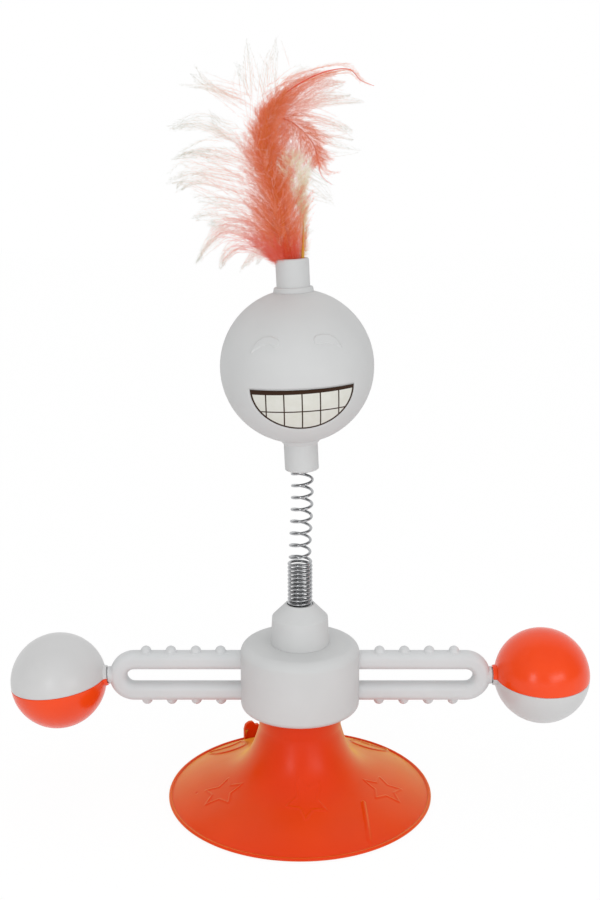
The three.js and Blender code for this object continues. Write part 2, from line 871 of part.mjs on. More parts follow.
function headBall() {
  const outerTop = THREE.MathUtils.radToDeg(Math.acos((holderRadius + gap) / headRadius));
  const outerBottom = THREE.MathUtils.radToDeg(Math.acos((socketRadius + gap) / headRadius));
  const innerTop = THREE.MathUtils.radToDeg(Math.acos((holderRadius + gap) / headInside));
  const innerBottom = THREE.MathUtils.radToDeg(Math.acos((socketRadius + gap) / headInside));
  const outline = [
    ...arc(0, 0, headRadius, outerTop, -outerBottom, 11),
    ...arc(0, 0, headInside, -innerBottom, innerTop, 7),
  ];
  return solid(turned(outline, 26));
}

/** An outline in the plane of the face, driven through the front of the head. */
function driven(outline) {
  const options = { depth: headRadius, bevelEnabled: false, curveSegments: 7 };
  return new THREE.ExtrudeGeometry(outline, options).rotateX(Math.PI / 2).translate(0, -headRadius * 0.3, 0);
}

function ballOf(radius) {
  return solid(new THREE.SphereGeometry(radius, 24, 16).rotateX(Math.PI / 2));
}

/** The grin: half an ellipse under a straight top edge. */
function grinOutline(margin) {
  const outline = new THREE.Shape();
  outline.moveTo(-grinHalfWidth - margin, grinTop + margin);
  outline.lineTo(-grinHalfWidth - margin, grinTop);
  outline.absellipse(0, grinTop, grinHalfWidth + margin, grinDrop + margin, Math.PI, 2 * Math.PI, false);
  outline.lineTo(grinHalfWidth + margin, grinTop + margin);
  return outline;
}

/** An eye shut in a laugh: a bow that is blunt at its inner end and runs out to a tip. */
function eyeOutline(side) {
  const at = (x, z) => [eyeOffset + side * x, z];
  const middle = (eyeInner + eyeOuter) / 2;
  const outline = new THREE.Shape();
  outline.moveTo(...at(eyeOuter, eyeTipHeight));
  outline.quadraticCurveTo(...at(eyeOuter - 1.2, eyeTop), ...at(middle, eyeTop));
  outline.quadraticCurveTo(...at(eyeInner + 1.4, eyeTop), ...at(eyeInner, eyeEndHeight + eyeWidth * 0.8));
  outline.quadraticCurveTo(...at(eyeInner, eyeEndHeight), ...at(eyeInner + 1, eyeEndHeight));
  outline.quadraticCurveTo(...at(middle, eyeTop - eyeWidth + 0.3), ...at(middle + 1, eyeTop - eyeWidth));
  outline.quadraticCurveTo(...at(eyeOuter - 1.6, eyeTop - eyeWidth), ...at(eyeOuter, eyeTipHeight));
  return outline;
}

function headShells() {
  const whole = headBall();
  const far = 2 * headRadius;
  const frontSide = solid(block([-far, -far, -far], [far, -gap / 2, far]));
  const rearSide = solid(block([-far, gap / 2, -far], [far, far, far]));
  const recess = solid(driven(grinOutline(gap))).subtract(ballOf(headRadius - grinRecess));
  const relief = ballOf(headRadius + eyeRelief).subtract(ballOf(headRadius - headWall / 2));
  const eyes = [-1, 1].map((side) => solid(driven(eyeOutline(side))).intersect(relief));
  const front = whole.intersect(frontSide).subtract(recess).add(eyes[0]).add(eyes[1]);
  const lipOutside = headInside - lipClearance;
  const lipFoot = lipOutside + lipClearance + gap;
  const lipInner = lipOutside - lipWall;
  const lip = turned(
    [
      [lipInner, headLipWidth],
      [lipFoot, headLipWidth],
      [lipFoot, headLipWidth / 2],
      [lipOutside, gap],
      [lipOutside, -headLipWidth / 2],
      [lipInner, -headLipWidth / 2],
    ],
    24,
  ).rotateX(-Math.PI / 2);
  const passage = rod(clampFlangeRadius + gap, -far, far, 16);
  const rear = whole.intersect(rearSide).add(cut(solid(lip), passage));
  return { front, rear };
}

const { front, rear } = headShells();
place(head, "head_front_shell", front, whitePlastic);
place(head, "head_rear_shell", rear, whitePlastic);

function grinPlateShape() {
  const plateTop = headRadius - grinRecess + gap + grinPlate;
  const layer = ballOf(plateTop).subtract(ballOf(plateTop - grinPlate));
  return solid(driven(grinOutline(0))).intersect(layer);
}

place(head, "grin_plate", grinPlateShape(), toothWhite);

/** The socket under the head: a tube for the top of the spring, a ring against the head and a flange inside it. */
function springSocket() {
  return turned(
    [
      [socketBoreRadius, socketFoot],
      [socketRadius - socketEdge, socketFoot],
      [socketRadius, socketFoot + socketEdge],
      [socketRadius, socketFoot + socketLength],
      [socketRingRadius, socketRingTop - gap],
      [socketRadius, socketRingTop - gap],
      [socketRadius, -flangeLevel],
      [clampFlangeRadius, -flangeLevel],
      [clampFlangeRadius, clampFlangeThickness - flangeLevel],
      [0, clampFlangeThickness - flangeLevel],
      [0, socketFoot + socketBoreDepth],
      [socketBoreRadius, socketFoot + socketBoreDepth],
    ],
    18,
  );
}

/** The holder on top of the head: a ring on the head, a tube for the quills, and a flange and a closed end inside. */
function featherHolder() {
  const floor = holderTop - holderBoreDepth;
  const end = floor - (holderRadius - holderBoreRadius);
  return turned(
    [
      [0, end],
      [holderRadius, end],
      [holderRadius, flangeLevel - clampFlangeThickness],
      [clampFlangeRadius, flangeLevel - clampFlangeThickness],
      [clampFlangeRadius, flangeLevel],
      [holderRadius, flangeLevel],
      [holderRadius, holderRingFoot + gap],
      [holderRingRadius, holderRingFoot + gap],
      [holderRingRadius - holderEdge / 3, holderRingFoot + holderRingHeight],
      [holderRadius, holderRingFoot + holderRingHeight],
      [holderRadius, holderTop - holderEdge],
      [holderRadius - holderEdge, holderTop],
      [holderBoreRadius, holderTop],
      [holderBoreRadius, floor],
      [0, floor],
    ],
    18,
  );
}

place(head, "spring_socket", springSocket(), whitePlastic);
place(head, "feather_holder", featherHolder(), whitePlastic);

// Feathers: where each quill stands in the holder, and the line that its down follows above it, in shares of its height
const feathers = [
  {
    name: "feather_coral_tall",
    quill: [-1.9, -1.5],
    height: tallHeight,
    line: [
      [-0.049, -0.061, 0.122],
      [-0.07, -0.092, 0.26],
      [-0.104, -0.092, 0.427],
      [-0.147, -0.092, 0.565],
      [-0.162, -0.092, 0.687],
      [-0.124, -0.092, 0.809],
      [-0.046, -0.092, 0.901],
      [0.076, -0.092, 0.962],
      [0.214, -0.092, 1],
      [0.336, -0.092, 0.977],
      [0.443, -0.092, 0.901],
    ],
    width: tallWidth,
    depth: tallDepth,
    material: coralDown,
  },
  {
    name: "feather_coral_curl",
    quill: [0.2, 2.5],
    height: curlHeight,
    line: [
      [-0.021, 0.153, 0.17],
      [-0.064, 0.213, 0.468],
      [-0.055, 0.209, 0.809],
      [0.032, 0.209, 1],
      [0.17, 0.209, 0.979],
      [0.277, 0.209, 0.809],
      [0.33, 0.209, 0.574],
    ],
    width: curlWidth,
    depth: curlDepth,
    material: coralDown,
  },
  {
    name: "feather_cream",
    quill: [2.9, 0.3],
    height: creamHeight,
    line: [
      [0.086, 0.014, 0.205],
      [0.123, 0.023, 0.477],
      [0.118, 0.023, 0.75],
      [0.068, 0.023, 1],
    ],
    width: creamWidth,
    depth: creamDepth,
    material: creamDown,
  },
];

/** The down of a feather: an ellipse carried along its line, thin at both ends. */
function downAlong({ quill, height, line, width, depth }) {
  const start = holderTop + downStart;
  const points = [new THREE.Vector3(quill[0], quill[1], start)];
  line.forEach(([x, y, z]) => points.push(new THREE.Vector3(x * height, y * height, holderTop + z * height)));
  const curve = new THREE.CatmullRomCurve3(points, false, "centripetal");
  const steps = 5 + 2 * points.length;
  const sides = 8;
  const positions = [];
  const triangles = [];
  for (let i = 0; i <= steps; i++) {
    const t = i / steps;
    const middle = curve.getPointAt(t);
    const along = curve.getTangentAt(t);
    const across = new THREE.Vector3(-along.z, 0, along.x).normalize();
    const swell = Math.sin(Math.PI * Math.min(1, 0.03 + 0.94 * t ** 0.75)) ** 0.8;
    for (let k = 0; k < sides; k++) {
      const angle = (2 * Math.PI * k) / sides;
      const wide = Math.max(width * swell, quillRadius * 1.5) * Math.cos(angle);
      const deep = Math.max(depth * Math.min(1, swell * 1.3), quillRadius * 1.5) * Math.sin(angle);
      positions.push(middle.x + across.x * wide, middle.y + deep, middle.z + across.z * wide);
      if (i === steps) continue;
      const here = i * sides + k;
      const beside = i * sides + ((k + 1) % sides);
      triangles.push(here, here + sides, beside, beside, here + sides, beside + sides);
    }
  }
  const end = steps * sides;
  for (let k = 1; k < sides - 1; k++) {
    triangles.push(0, k, k + 1, end, end + k + 1, end + k);
  }
  const geometry = new THREE.BufferGeometry();
  geometry.setAttribute("position", new THREE.Float32BufferAttribute(positions, 3));
  geometry.setIndex(triangles);
  return geometry;
}

for (const feather of feathers) {
  const [x, y] = feather.quill;
  const quill = rod(quillRadius, holderTop - quillDepth, holderTop + 2 * downStart, 6).translate(x, y, 0);
  place(head, feather.name, join(downAlong(feather), quill), feather.material);
}

const glueFoot = holderTop - holderBoreDepth + gap;
const quillHoles = feathers.map(({ quill }) =>
  rod(quillRadius + gap, holderTop - quillDepth - gap, holderTop, 6).translate(quill[0], quill[1], 0),
);
const glue = cut(solid(rod(holderBoreRadius - gap, glueFoot, glueFoot + glueHeight, 12)), ...quillHoles);
place(head, "glue_plug", glue, clearGlue);

export default toy;
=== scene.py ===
# %% [markdown]
# # A spinning cat toy
# A suction cup carries a hub that turns on a ball bearing. Two rubber arms with ball ends stand out of the
# hub, and a smiling head with a feather plume sways above it on a coil spring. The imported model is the
# frame: it says where each piece is and what it moves with. Every surface below is worked out in
# millimetres and laid over that frame.

# %% Load the frame
import json

import bmesh
import bpy
import numpy as np
from mathutils import Matrix, Vector


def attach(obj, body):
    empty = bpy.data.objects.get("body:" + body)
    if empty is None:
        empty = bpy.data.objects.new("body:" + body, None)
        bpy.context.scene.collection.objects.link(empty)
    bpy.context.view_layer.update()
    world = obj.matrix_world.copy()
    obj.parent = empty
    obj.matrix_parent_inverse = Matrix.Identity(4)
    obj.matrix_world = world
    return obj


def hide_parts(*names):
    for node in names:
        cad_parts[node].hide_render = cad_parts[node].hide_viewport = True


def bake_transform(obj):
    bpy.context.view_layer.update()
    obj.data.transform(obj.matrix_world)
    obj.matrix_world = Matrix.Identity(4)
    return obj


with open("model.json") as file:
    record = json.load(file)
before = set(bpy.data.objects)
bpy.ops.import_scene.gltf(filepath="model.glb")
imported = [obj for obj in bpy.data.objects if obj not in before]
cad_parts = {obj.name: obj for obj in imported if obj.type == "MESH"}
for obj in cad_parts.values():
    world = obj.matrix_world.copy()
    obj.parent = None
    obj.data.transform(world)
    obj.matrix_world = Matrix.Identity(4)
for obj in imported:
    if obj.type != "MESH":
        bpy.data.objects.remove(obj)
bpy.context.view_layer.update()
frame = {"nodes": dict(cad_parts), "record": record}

MM = 0.001

# %% [markdown]
# ## Camera
# The photograph was taken from a little above, close enough for the near side to look larger. The lens, the
# height and the tilt were worked out from the round rims of the cup, the hub and the head, so they are
# typed in as found.

# %% Camera
camera_distance = 444.1
camera_height = 238.8
camera_pitch = 13.0
lens_length = 50
sensor_width = 36

camera = bpy.data.cameras.new("camera")
camera.lens = lens_length
camera.sensor_width = sensor_width
camera.clip_start = 0.01
viewer = bpy.data.objects.new("camera", camera)
viewer.location = (0, -camera_distance * MM, camera_height * MM)
viewer.rotation_euler = (np.radians(90 - camera_pitch), 0, 0)
bpy.context.scene.collection.objects.link(viewer)
bpy.context.scene.camera = viewer
bpy.context.scene.view_settings.view_transform = "Standard"
print("camera", tuple(round(v, 4) for v in viewer.location))

# %% [markdown]
# ## From arrays to meshes
# A surface is a grid of points, rows by columns. Cells join neighbouring points, and a grid can wrap round
# in either direction. Rows that shrink to one point make a pole, and merging doubled points closes poles
# and seams, so every mesh comes out as a closed skin whose faces look outwards.


# %% Grids, meshes and pieces
def cells(rows, columns, wrap_rows, wrap_columns):
    """Corner numbers of a grid's cells: cell (i, j) joins rows i and i + 1 with columns j and j + 1."""
    number = np.arange(rows * columns).reshape(rows, columns)
    if wrap_rows:
        number = np.vstack([number, number[:1]])
    if wrap_columns:
        number = np.hstack([number, number[:, :1]])
    corners = [number[:-1, :-1], number[:-1, 1:], number[1:, 1:], number[1:, :-1]]
    return np.stack(corners, -1).reshape(-1, 4)


def capped(grid, tips):
    """A grid of rings with a row added at each end, all of whose points lie at the tip given for that end."""
    ends = np.repeat(tips, grid.shape[1], 1)
    return np.concatenate([ends[:1], grid, ends[1:]])


def mesh_of(name, points, faces, fields=None, chart=None):
    """A mesh from points (n, 3) in millimetres and arrays of corner numbers. Fields are numbers per point."""
    mesh = bpy.data.meshes.new(name)
    corners = np.concatenate([face.ravel() for face in faces])
    sizes = np.concatenate([np.full(len(face), face.shape[1]) for face in faces])
    mesh.vertices.add(len(points))
    mesh.vertices.foreach_set("co", (points * MM).ravel())
    mesh.loops.add(len(corners))
    mesh.loops.foreach_set("vertex_index", corners)
    mesh.polygons.add(len(sizes))
    mesh.polygons.foreach_set("loop_start", np.concatenate([[0], np.cumsum(sizes)[:-1]]))
    mesh.update(calc_edges=True)
    for field, values in (fields or {}).items():
        mesh.attributes.new(field, "FLOAT", "POINT").data.foreach_set("value", values.ravel())
    if chart is not None:
        mesh.uv_layers.new(name="chart").data.foreach_set("uv", chart[corners].ravel())
    return mesh


def close_up(mesh, merge=0.002):
    """Merges doubled points, so that poles and seams close, and turns every face outwards."""
    shape = bmesh.new()
    shape.from_mesh(mesh)
    bmesh.ops.remove_doubles(shape, verts=shape.verts, dist=merge * MM)
    bmesh.ops.recalc_face_normals(shape, faces=shape.faces)
    shape.to_mesh(mesh)
    shape.free()


# %% Pieces that move with a body
def place(name, mesh, material, body, slot, stands_for=()):
    """Makes the mesh a named piece that moves with a body, and hides the solids that it stands for."""
    mesh.materials.append(material)
    mesh.polygons.foreach_set("use_smooth", np.ones(len(mesh.polygons), bool))
    piece = bpy.data.objects.new(name, mesh)
    bpy.context.scene.collection.objects.link(piece)
    if body:
        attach(piece, body)
    if stands_for:
        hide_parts(*stands_for)
    print(f"{name}: {sum(len(p.vertices) - 2 for p in mesh.polygons)} triangles")
    return piece


def skin(name, grids, fields=None, chart=None):
    """A closed mesh from grids, each given as (points, wrap_rows, wrap_columns).

    The points of a grid are an array (rows, columns, 3) in millimetres.
    """
    points, faces, start = [], [], 0
    for grid, wrap_rows, wrap_columns in grids:
        rows, columns = grid.shape[:2]
        points.append(grid.reshape(-1, 3))
        faces.append(cells(rows, columns, wrap_rows, wrap_columns) + start)
        start += rows * columns
    mesh = mesh_of(name, np.concatenate(points), faces, fields, chart)
    close_up(mesh)
    return mesh


# %% [markdown]
# ## Turned pieces
# The hub, the collar, the tubes on the head and the half shells of the balls are moulded round shapes. Each
# is an outline of radius and height that is turned about an axis. A mould never gives a knife edge, so
# every corner of an outline has a fillet, and a point beside each fillet keeps the flat faces flat in the
# light.


# %% Rounded outlines, and turning them
usual_fillet = 0.12


def rounded(corners, closed=True, steps=6):
    """An outline through corners of (radius, height, fillet), with an arc in each that touches both sides.

    The arc is a vector turned from its start to its end about its centre, which lies on the corner's bisector
    at fillet / sin(half the angle). A corner without a fillet gets the usual one.
    """
    corner = np.array([c[:2] for c in corners], float)
    fillet = np.array([c[2] if len(c) > 2 else usual_fillet for c in corners], float)
    before = np.roll(corner, 1, 0) - corner
    after = np.roll(corner, -1, 0) - corner
    if not closed:
        fillet[[0, -1]] = 0
        before[0], after[-1] = -after[0], -before[-1]
    length_before = np.linalg.norm(before, axis=1, keepdims=True)
    length_after = np.linalg.norm(after, axis=1, keepdims=True)
    before, after = before / length_before, after / length_after
    half = np.arccos(np.clip((before * after).sum(1), -0.9999, 0.9999))[:, None] / 2
    fillet = fillet[:, None]
    reach = np.minimum(fillet / np.tan(half), 0.45 * np.minimum(length_before, length_after))
    radius = reach * np.tan(half)
    bisector = before + after
    bisector /= np.maximum(np.linalg.norm(bisector, axis=1, keepdims=True), 1e-9)
    centre = corner + bisector * radius / np.sin(half)
    start = corner + before * reach - centre
    end = corner + after * reach - centre
    t = np.linspace(0, 1, steps + 1)[None, :, None]
    turn = (np.pi - 2 * half)[:, :, None]
    arcs = (np.sin((1 - t) * turn) * start[:, None] + np.sin(t * turn) * end[:, None]) / np.sin(turn)
    lead_in = corner + before * np.minimum(1.5 * reach, 0.49 * length_before)
    lead_out = corner + after * np.minimum(1.5 * reach, 0.49 * length_after)
    outline = np.concatenate([lead_in[:, None], arcs + centre[:, None], lead_out[:, None]], 1)
    sharp = (fillet < 1e-6)[:, 0]
    outline[sharp] = corner[sharp][:, None]
    return outline.reshape(-1, 2)


def turned(outline, sides=128):
    """Points of an outline turned about Z: x = radius cos(angle), y = radius sin(angle), z = height."""
    angle = np.arange(sides) * 2 * np.pi / sides
    radius, height = np.asarray(outline).T
    across = np.outer(radius, np.cos(angle))
    deep = np.outer(radius, np.sin(angle))
    return np.stack([across, deep, np.repeat(height[:, None], sides, 1)], -1)


# %% Turns, moves, smooth steps and distances
def rotation(axis, degrees):
    """A turn about X, Y or Z as a 4 x 4 array."""
    return np.array(Matrix.Rotation(np.radians(degrees), 4, axis))


def shift(x=0.0, y=0.0, z=0.0):
    """A move as a 4 x 4 array."""
    return np.array(Matrix.Translation((x, y, z)))


def carried(points, matrix):
    """Points, in an array of any shape that ends in 3, moved by a 4 x 4 array."""
    return points @ matrix[:3, :3].T + matrix[:3, 3]


def smooth(value, low, high):
    """0 below low, 1 above high, and 3t^2 - 2t^3 between them."""
    t = np.clip((value - low) / (high - low), 0, 1)
    return t * t * (3 - 2 * t)


def distance_to_line(points, line, closed=False):
    """Distance of points (n, 2) to a chain of straight stretches (m, 2), and the nearest share of the chain.

    The foot of a point on a stretch lies at share t = offset . way / way . way, held between 0 and 1.
    """
    start = np.asarray(line, float)
    end = np.roll(start, -1, 0)
    if not closed:
        start, end = start[:-1], end[:-1]
    way = end - start
    offset = points[:, None] - start
    t = np.clip((offset * way).sum(-1) / (way**2).sum(-1), 0, 1)
    gap = np.linalg.norm(offset - t[..., None] * way, axis=-1)
    nearest = gap.argmin(1)
    rows = np.arange(len(points))
    return gap[rows, nearest], (nearest + t[rows, nearest]) / len(start)


# %% [markdown]
# ## Materials
# A material is a small sum. One class holds a node tree, and another stands for a number that runs through
# it, so that shader maths reads like ordinary Python. Colours are typed as they look on a screen and turned
# into linear light.


# %% Shader maths
class Wire:
    """A number or colour that runs through a material. Python's operators on it add Math nodes."""

    def __init__(self, nodes, socket):
        self.nodes = nodes
        self.socket = socket

    def math(self, operation, *others):
        return self.nodes.add("Math", {"operation": operation}, dict(enumerate((self, *others))))

    def __add__(self, other):
        return self.math("ADD", other)

    def __sub__(self, other):
        return self.math("SUBTRACT", other)

    def __mul__(self, other):
        return self.math("MULTIPLY", other)

    def __rsub__(self, other):
        return self.nodes.add("Math", {"operation": "SUBTRACT"}, {0: other, 1: self})

    def __abs__(self):
        return self.math("ABSOLUTE")

    __radd__ = __add__

    def most(self, other):
        """The larger of two numbers."""
        return self.math("MAXIMUM", other)

    def rises(self, low, high):
        """0 below low, 1 above high, smooth between."""
        sockets = {"Value": self, "From Min": low, "From Max": high}
        return self.nodes.add("MapRange", {"interpolation_type": "SMOOTHSTEP"}, sockets)


# %% Node trees
class Nodes:
    """A node tree that is being filled."""

    def __init__(self, tree):
        self.tree = tree
        tree.nodes.clear()

    def add(self, kind, settings=None, values=None, output=0):
        """Adds a node of any type: its settings first, then the values or links of its sockets."""
        node = self.tree.nodes.new("ShaderNode" + kind)
        for key, value in (settings or {}).items():
            setattr(node, key, value)
        for key, value in (values or {}).items():
            if isinstance(value, Wire):
                self.tree.links.new(value.socket, node.inputs[key])
            else:
                node.inputs[key].default_value = value
        return Wire(self, node.outputs[output]) if node.outputs else None

    def mix(self, first, second, share):
        """A colour between two colours."""
        return self.add("Mix", {"data_type": "RGBA"}, {0: share, 6: first, 7: second}, 2)

    def ramp(self, share, stops):
        """A colour that runs through stops of (share, colour)."""
        wire = self.add("ValToRGB", values={"Fac": share})
        elements = wire.socket.node.color_ramp.elements
        while len(elements) < len(stops):
            elements.new(1.0)
        for element, (position, colour) in zip(elements, stops):
            element.position = position
            element.color = colour
        return wire

    def noise(self, place, scale, detail):
        """Soft noise from 0 to 1: scale is waves to one unit of place, and detail is finer layers."""
        return self.add("TexNoise", values={"Vector": place, "Scale": scale, "Detail": detail})


def paint(red, green, blue):
    """A screen colour, 0 to 255, as linear light: ((s + 0.055) / 1.055)^2.4, or s / 12.92 when very dark."""
    share = np.array([red, green, blue]) / 255
    light = np.where(share <= 0.04045, share / 12.92, ((share + 0.055) / 1.055) ** 2.4)
    return (*map(float, light), 1.0)


def new_material(name):
    """A material with an empty node tree."""
    material = bpy.data.materials.new(name)
    material.use_nodes = True
    return material, Nodes(material.node_tree)


def coat_with(nodes, sockets):
    """Ends a material with one Principled shader."""
    shader = nodes.add("BsdfPrincipled", values=sockets)
    nodes.add("OutputMaterial", values={"Surface": shader})


# %% [markdown]
# ## Moulded plastic and rubber
# The white and orange pieces are injection moulded. Such plastic is never one flat colour: it drifts a
# little from place to place, its gloss is uneven, and its surface has a fine orange-peel texture from the
# steel of the mould. One function makes all of them from a colour, a roughness and the depth of that
# texture.


# %% Moulded finishes
def moulded(name, light, dark, roughness, grain=0.006, grain_scale=1400, metallic=0.0, extra=None):
    """A moulded surface: a colour that drifts between two, patchy gloss, and a fine grain in millimetres."""
    material, nodes = new_material(name)
    here = nodes.add("TexCoord", output="Object")
    drift = nodes.noise(here, 45, 3)
    patches = nodes.noise(here, 160, 4)
    peel = nodes.noise(here, grain_scale, 2)
    bump = nodes.add("Bump", values={"Height": peel, "Distance": grain * MM, "Strength": 1.0})
    sockets = {
        "Base Color": nodes.mix(paint(*dark), paint(*light), drift.rises(0.3, 0.7)),
        "Roughness": roughness + (patches - 0.5) * 0.14,
        "Normal": bump,
        "Metallic": metallic,
    }
    coat_with(nodes, sockets | (extra or {}))
    return material


soft_sheen = {"Sheen Weight": 1.0, "Sheen Roughness": 0.42, "Sheen Tint": paint(255, 214, 72)}
cup_gloss = soft_sheen | {"Specular IOR Level": 0.22}
ball_gloss = {"Specular IOR Level": 0.38}
white_plastic = moulded("white_plastic", (210, 210, 210), (206, 206, 206), 0.34)
white_rubber = moulded("white_rubber", (213, 214, 215), (208, 210, 211), 0.5, 0.012, 900)
white_satin = moulded("white_satin", (210, 211, 211), (206, 207, 207), 0.58, 0.009, 1100)
orange_plastic = moulded("orange_plastic", (249, 75, 18), (244, 70, 15), 0.24, extra=ball_gloss)
orange_rubber = moulded("orange_rubber", (232, 57, 1), (227, 54, 1), 0.33, 0.008, 1100, extra=cup_gloss)
grey_plastic = moulded("grey_plastic", (146, 148, 150), (134, 136, 138), 0.5)
glue = moulded("glue", (216, 206, 174), (206, 194, 160), 0.3)
print("moulded finishes:", len(bpy.data.materials))

# %% [markdown]
# ## Steel
# Spring wire is drawn through a die, which leaves fine lines along it, and a ground bearing is nearly a
# mirror. Both are metal, so their colour is that of their reflections. The drawn lines are noise stretched
# along the wire by its own chart, in which u runs round the wire and v along it.


# %% Steel finishes
def drawn_wire(name, light, dark, roughness):
    """Wire with drawing lines along it, read from its own chart of u round the wire and v along it."""
    material, nodes = new_material(name)
    chart = nodes.add("UVMap", {"uv_map": "chart"})
    along = nodes.add("Mapping", values={"Vector": chart, "Scale": (14.0, 0.8, 1.0)})
    lines = nodes.noise(along, 3, 3)
    bump = nodes.add("Bump", values={"Height": lines, "Distance": 0.01 * MM, "Strength": 0.6})
    colour = nodes.mix(paint(*dark), paint(*light), lines.rises(0.35, 0.65))
    sockets = {"Base Color": colour, "Metallic": 1.0, "Normal": bump}
    coat_with(nodes, sockets | {"Roughness": roughness + lines * 0.12})
    return material


spring_steel = drawn_wire("spring_steel", (186, 187, 189), (160, 161, 163), 0.12)
bearing_steel = moulded("bearing_steel", (206, 208, 210), (198, 200, 202), 0.14, 0.001, 2500, 1.0)
screw_steel = moulded("screw_steel", (186, 188, 190), (170, 172, 176), 0.3, 0.003, 1800, 1.0)

kept_finishes = {
    "grey_plastic": grey_plastic,
    "bearing_steel": bearing_steel,
    "screw_steel": screw_steel,
    "glue": glue,
    "white_plastic": white_plastic,
    "spring_steel": screw_steel,
}
for subpart in frame["record"]["subparts"]:
    finish = kept_finishes.get(subpart["material_slot"])
    if finish:
        solid = frame["nodes"][subpart["node"]].data
        solid.materials.clear()
        solid.materials.append(finish)
print("inner pieces given a finish")

# %% [markdown]
# ## Suction cup
# The cup is one piece of soft rubber: a thin dome, a flare that climbs to a straight neck, a bead round the
# rim, and a hollow underneath. Its top carries raised stars and crescents and one rib. They are too thin
# for an outline, so the dome is a fine grid whose height is the smooth dome plus the height of the nearest
# raised line.

# %% Outline of the cup
rim_radius = 50.7
neck_radius = 15.6
bead_radius = 0.6
dome_height = 9.1
flare_height = 19.4
flare_reach = 5
hollow_radius = 47.3
hollow_height = 9.5


def dome(radius):
    """Height over radius r, of the dome and the flare.

    It is dome_height (1 - (r / rim)^3) plus flare_height e^((neck - r) / flare_reach).
    """
    smooth_dome = dome_height * (1 - (radius / rim_radius) ** 3)
    return smooth_dome + flare_height * np.exp((neck_radius - radius) / flare_reach)


def arc(centre, radius, first, last, steps):
    """Points on a circle in an outline, from one angle to another in degrees."""
    angle = np.radians(np.linspace(first, last, steps))
    return np.stack([centre[0] + radius * np.cos(angle), centre[1] + radius * np.sin(angle)], -1)


neck_corners = [(0, 14, 0), (9.3, 14), (9.3, 36, 0.3), (neck_radius, 36, 0.8), (neck_radius, 28.7, 0)]
neck = rounded(neck_corners, False)[:-8]
flare_radii = np.concatenate(
    [np.linspace(15.62, 22, 15), np.arange(22.3, 42.6, 0.3), np.linspace(43, 49.45, 11)]
)
bead = arc((rim_radius - bead_radius, bead_radius), bead_radius, 160, -90, 11)
hollow_radii = np.concatenate([[48.5], np.linspace(hollow_radius, 0, 15)])
hollow_heights = hollow_height * np.clip(1 - (hollow_radii / hollow_radius) ** 2, 0, None)
hollow = np.stack([hollow_radii, hollow_heights], -1)
cup_outline = np.concatenate([neck, np.stack([flare_radii, dome(flare_radii)], -1), bead, hollow])
print("cup outline:", len(cup_outline), "points")


# %% Raised stars, crescents and rib
def star(centre, turned_by, radius=7.7, inner=0.5):
    """A five-pointed star: ten corners at equal angles, on two circles in turn."""
    corner = np.arange(11)
    outwards = np.arctan2(centre[1], centre[0]) + np.radians(turned_by)
    angle = outwards + corner * np.pi / 5
    reach = np.where(corner % 2 == 0, radius, radius * inner)
    return np.stack([centre[0] + reach * np.cos(angle), centre[1] + reach * np.sin(angle)], -1)


def crescent(centre, facing, radius=7.6):
    """A moon: a wide arc, and a shallower one between the same two tips, bowed by 4 t (1 - t)."""
    back = np.radians(facing) + np.linspace(-2.1, 2.1, 26)
    outer = np.stack([radius * np.cos(back), radius * np.sin(back)], -1)
    tips = outer[[0, -1]]
    t = np.linspace(0, 1, 16)[1:, None]
    bow = 0.45 * radius * np.array([np.cos(np.radians(facing)), np.sin(np.radians(facing))])
    inner = tips[1] * (1 - t) + tips[0] * t + bow * 4 * t * (1 - t)
    return np.concatenate([outer, inner]) + centre


ornaments = [
    star((-29.3, -14.3), 13.2),
    star((2.6, -26.2), -9.9),
    star((31.8, -11.3), -25.2),
    crescent((-29.5, 28.3), -68),
    crescent((28.8, 32.6), -110),
]
ridges = [0.27, 0.27, 0.27, 0.5, 0.5]
rib = [(23.5, -22.5), (24.8, -39.8)]
pit_spot = [-39.3, -9.8]


def relief(points):
    """Height of the raised lines over the dome, with smooth flanks, less a small pit at the left.

    The stars stand 0.27 mm out and the crescents 0.5 mm. The rib falls from 0.95 mm at one end to 0.55 mm.
    """
    height = np.zeros(len(points))
    for ornament, ridge in zip(ornaments, ridges):
        gap, _ = distance_to_line(points, ornament)
        height = np.maximum(height, ridge * (1 - smooth(gap, 0.08, 0.5)))
    gap, share = distance_to_line(points, rib)
    height = np.maximum(height, (0.95 - 0.4 * share) * (1 - smooth(gap, 0.1, 1.05)))
    pit = np.linalg.norm(points - pit_spot, axis=1)
    return height - 0.35 * (1 - smooth(pit, 0.1, 0.55))


# %% Cup
cup_grid = turned(cup_outline, 672)
first_row = len(neck)
dome_rows = cup_grid[first_row : first_row + len(flare_radii)]
dome_rows[..., 2] += relief(dome_rows[..., :2].reshape(-1, 2)).reshape(dome_rows.shape[:2])
cup_mesh = skin("suction_cup", [(cup_grid, False, True)])

# %% [markdown]
# ## Pull tab
# A small tongue behind the left of the rim lets a finger peel the cup off. It is a flat outline with a
# round tip and a step beside it, thick as a coin. Rings of the outline, each drawn in a little more, round
# its two edges.


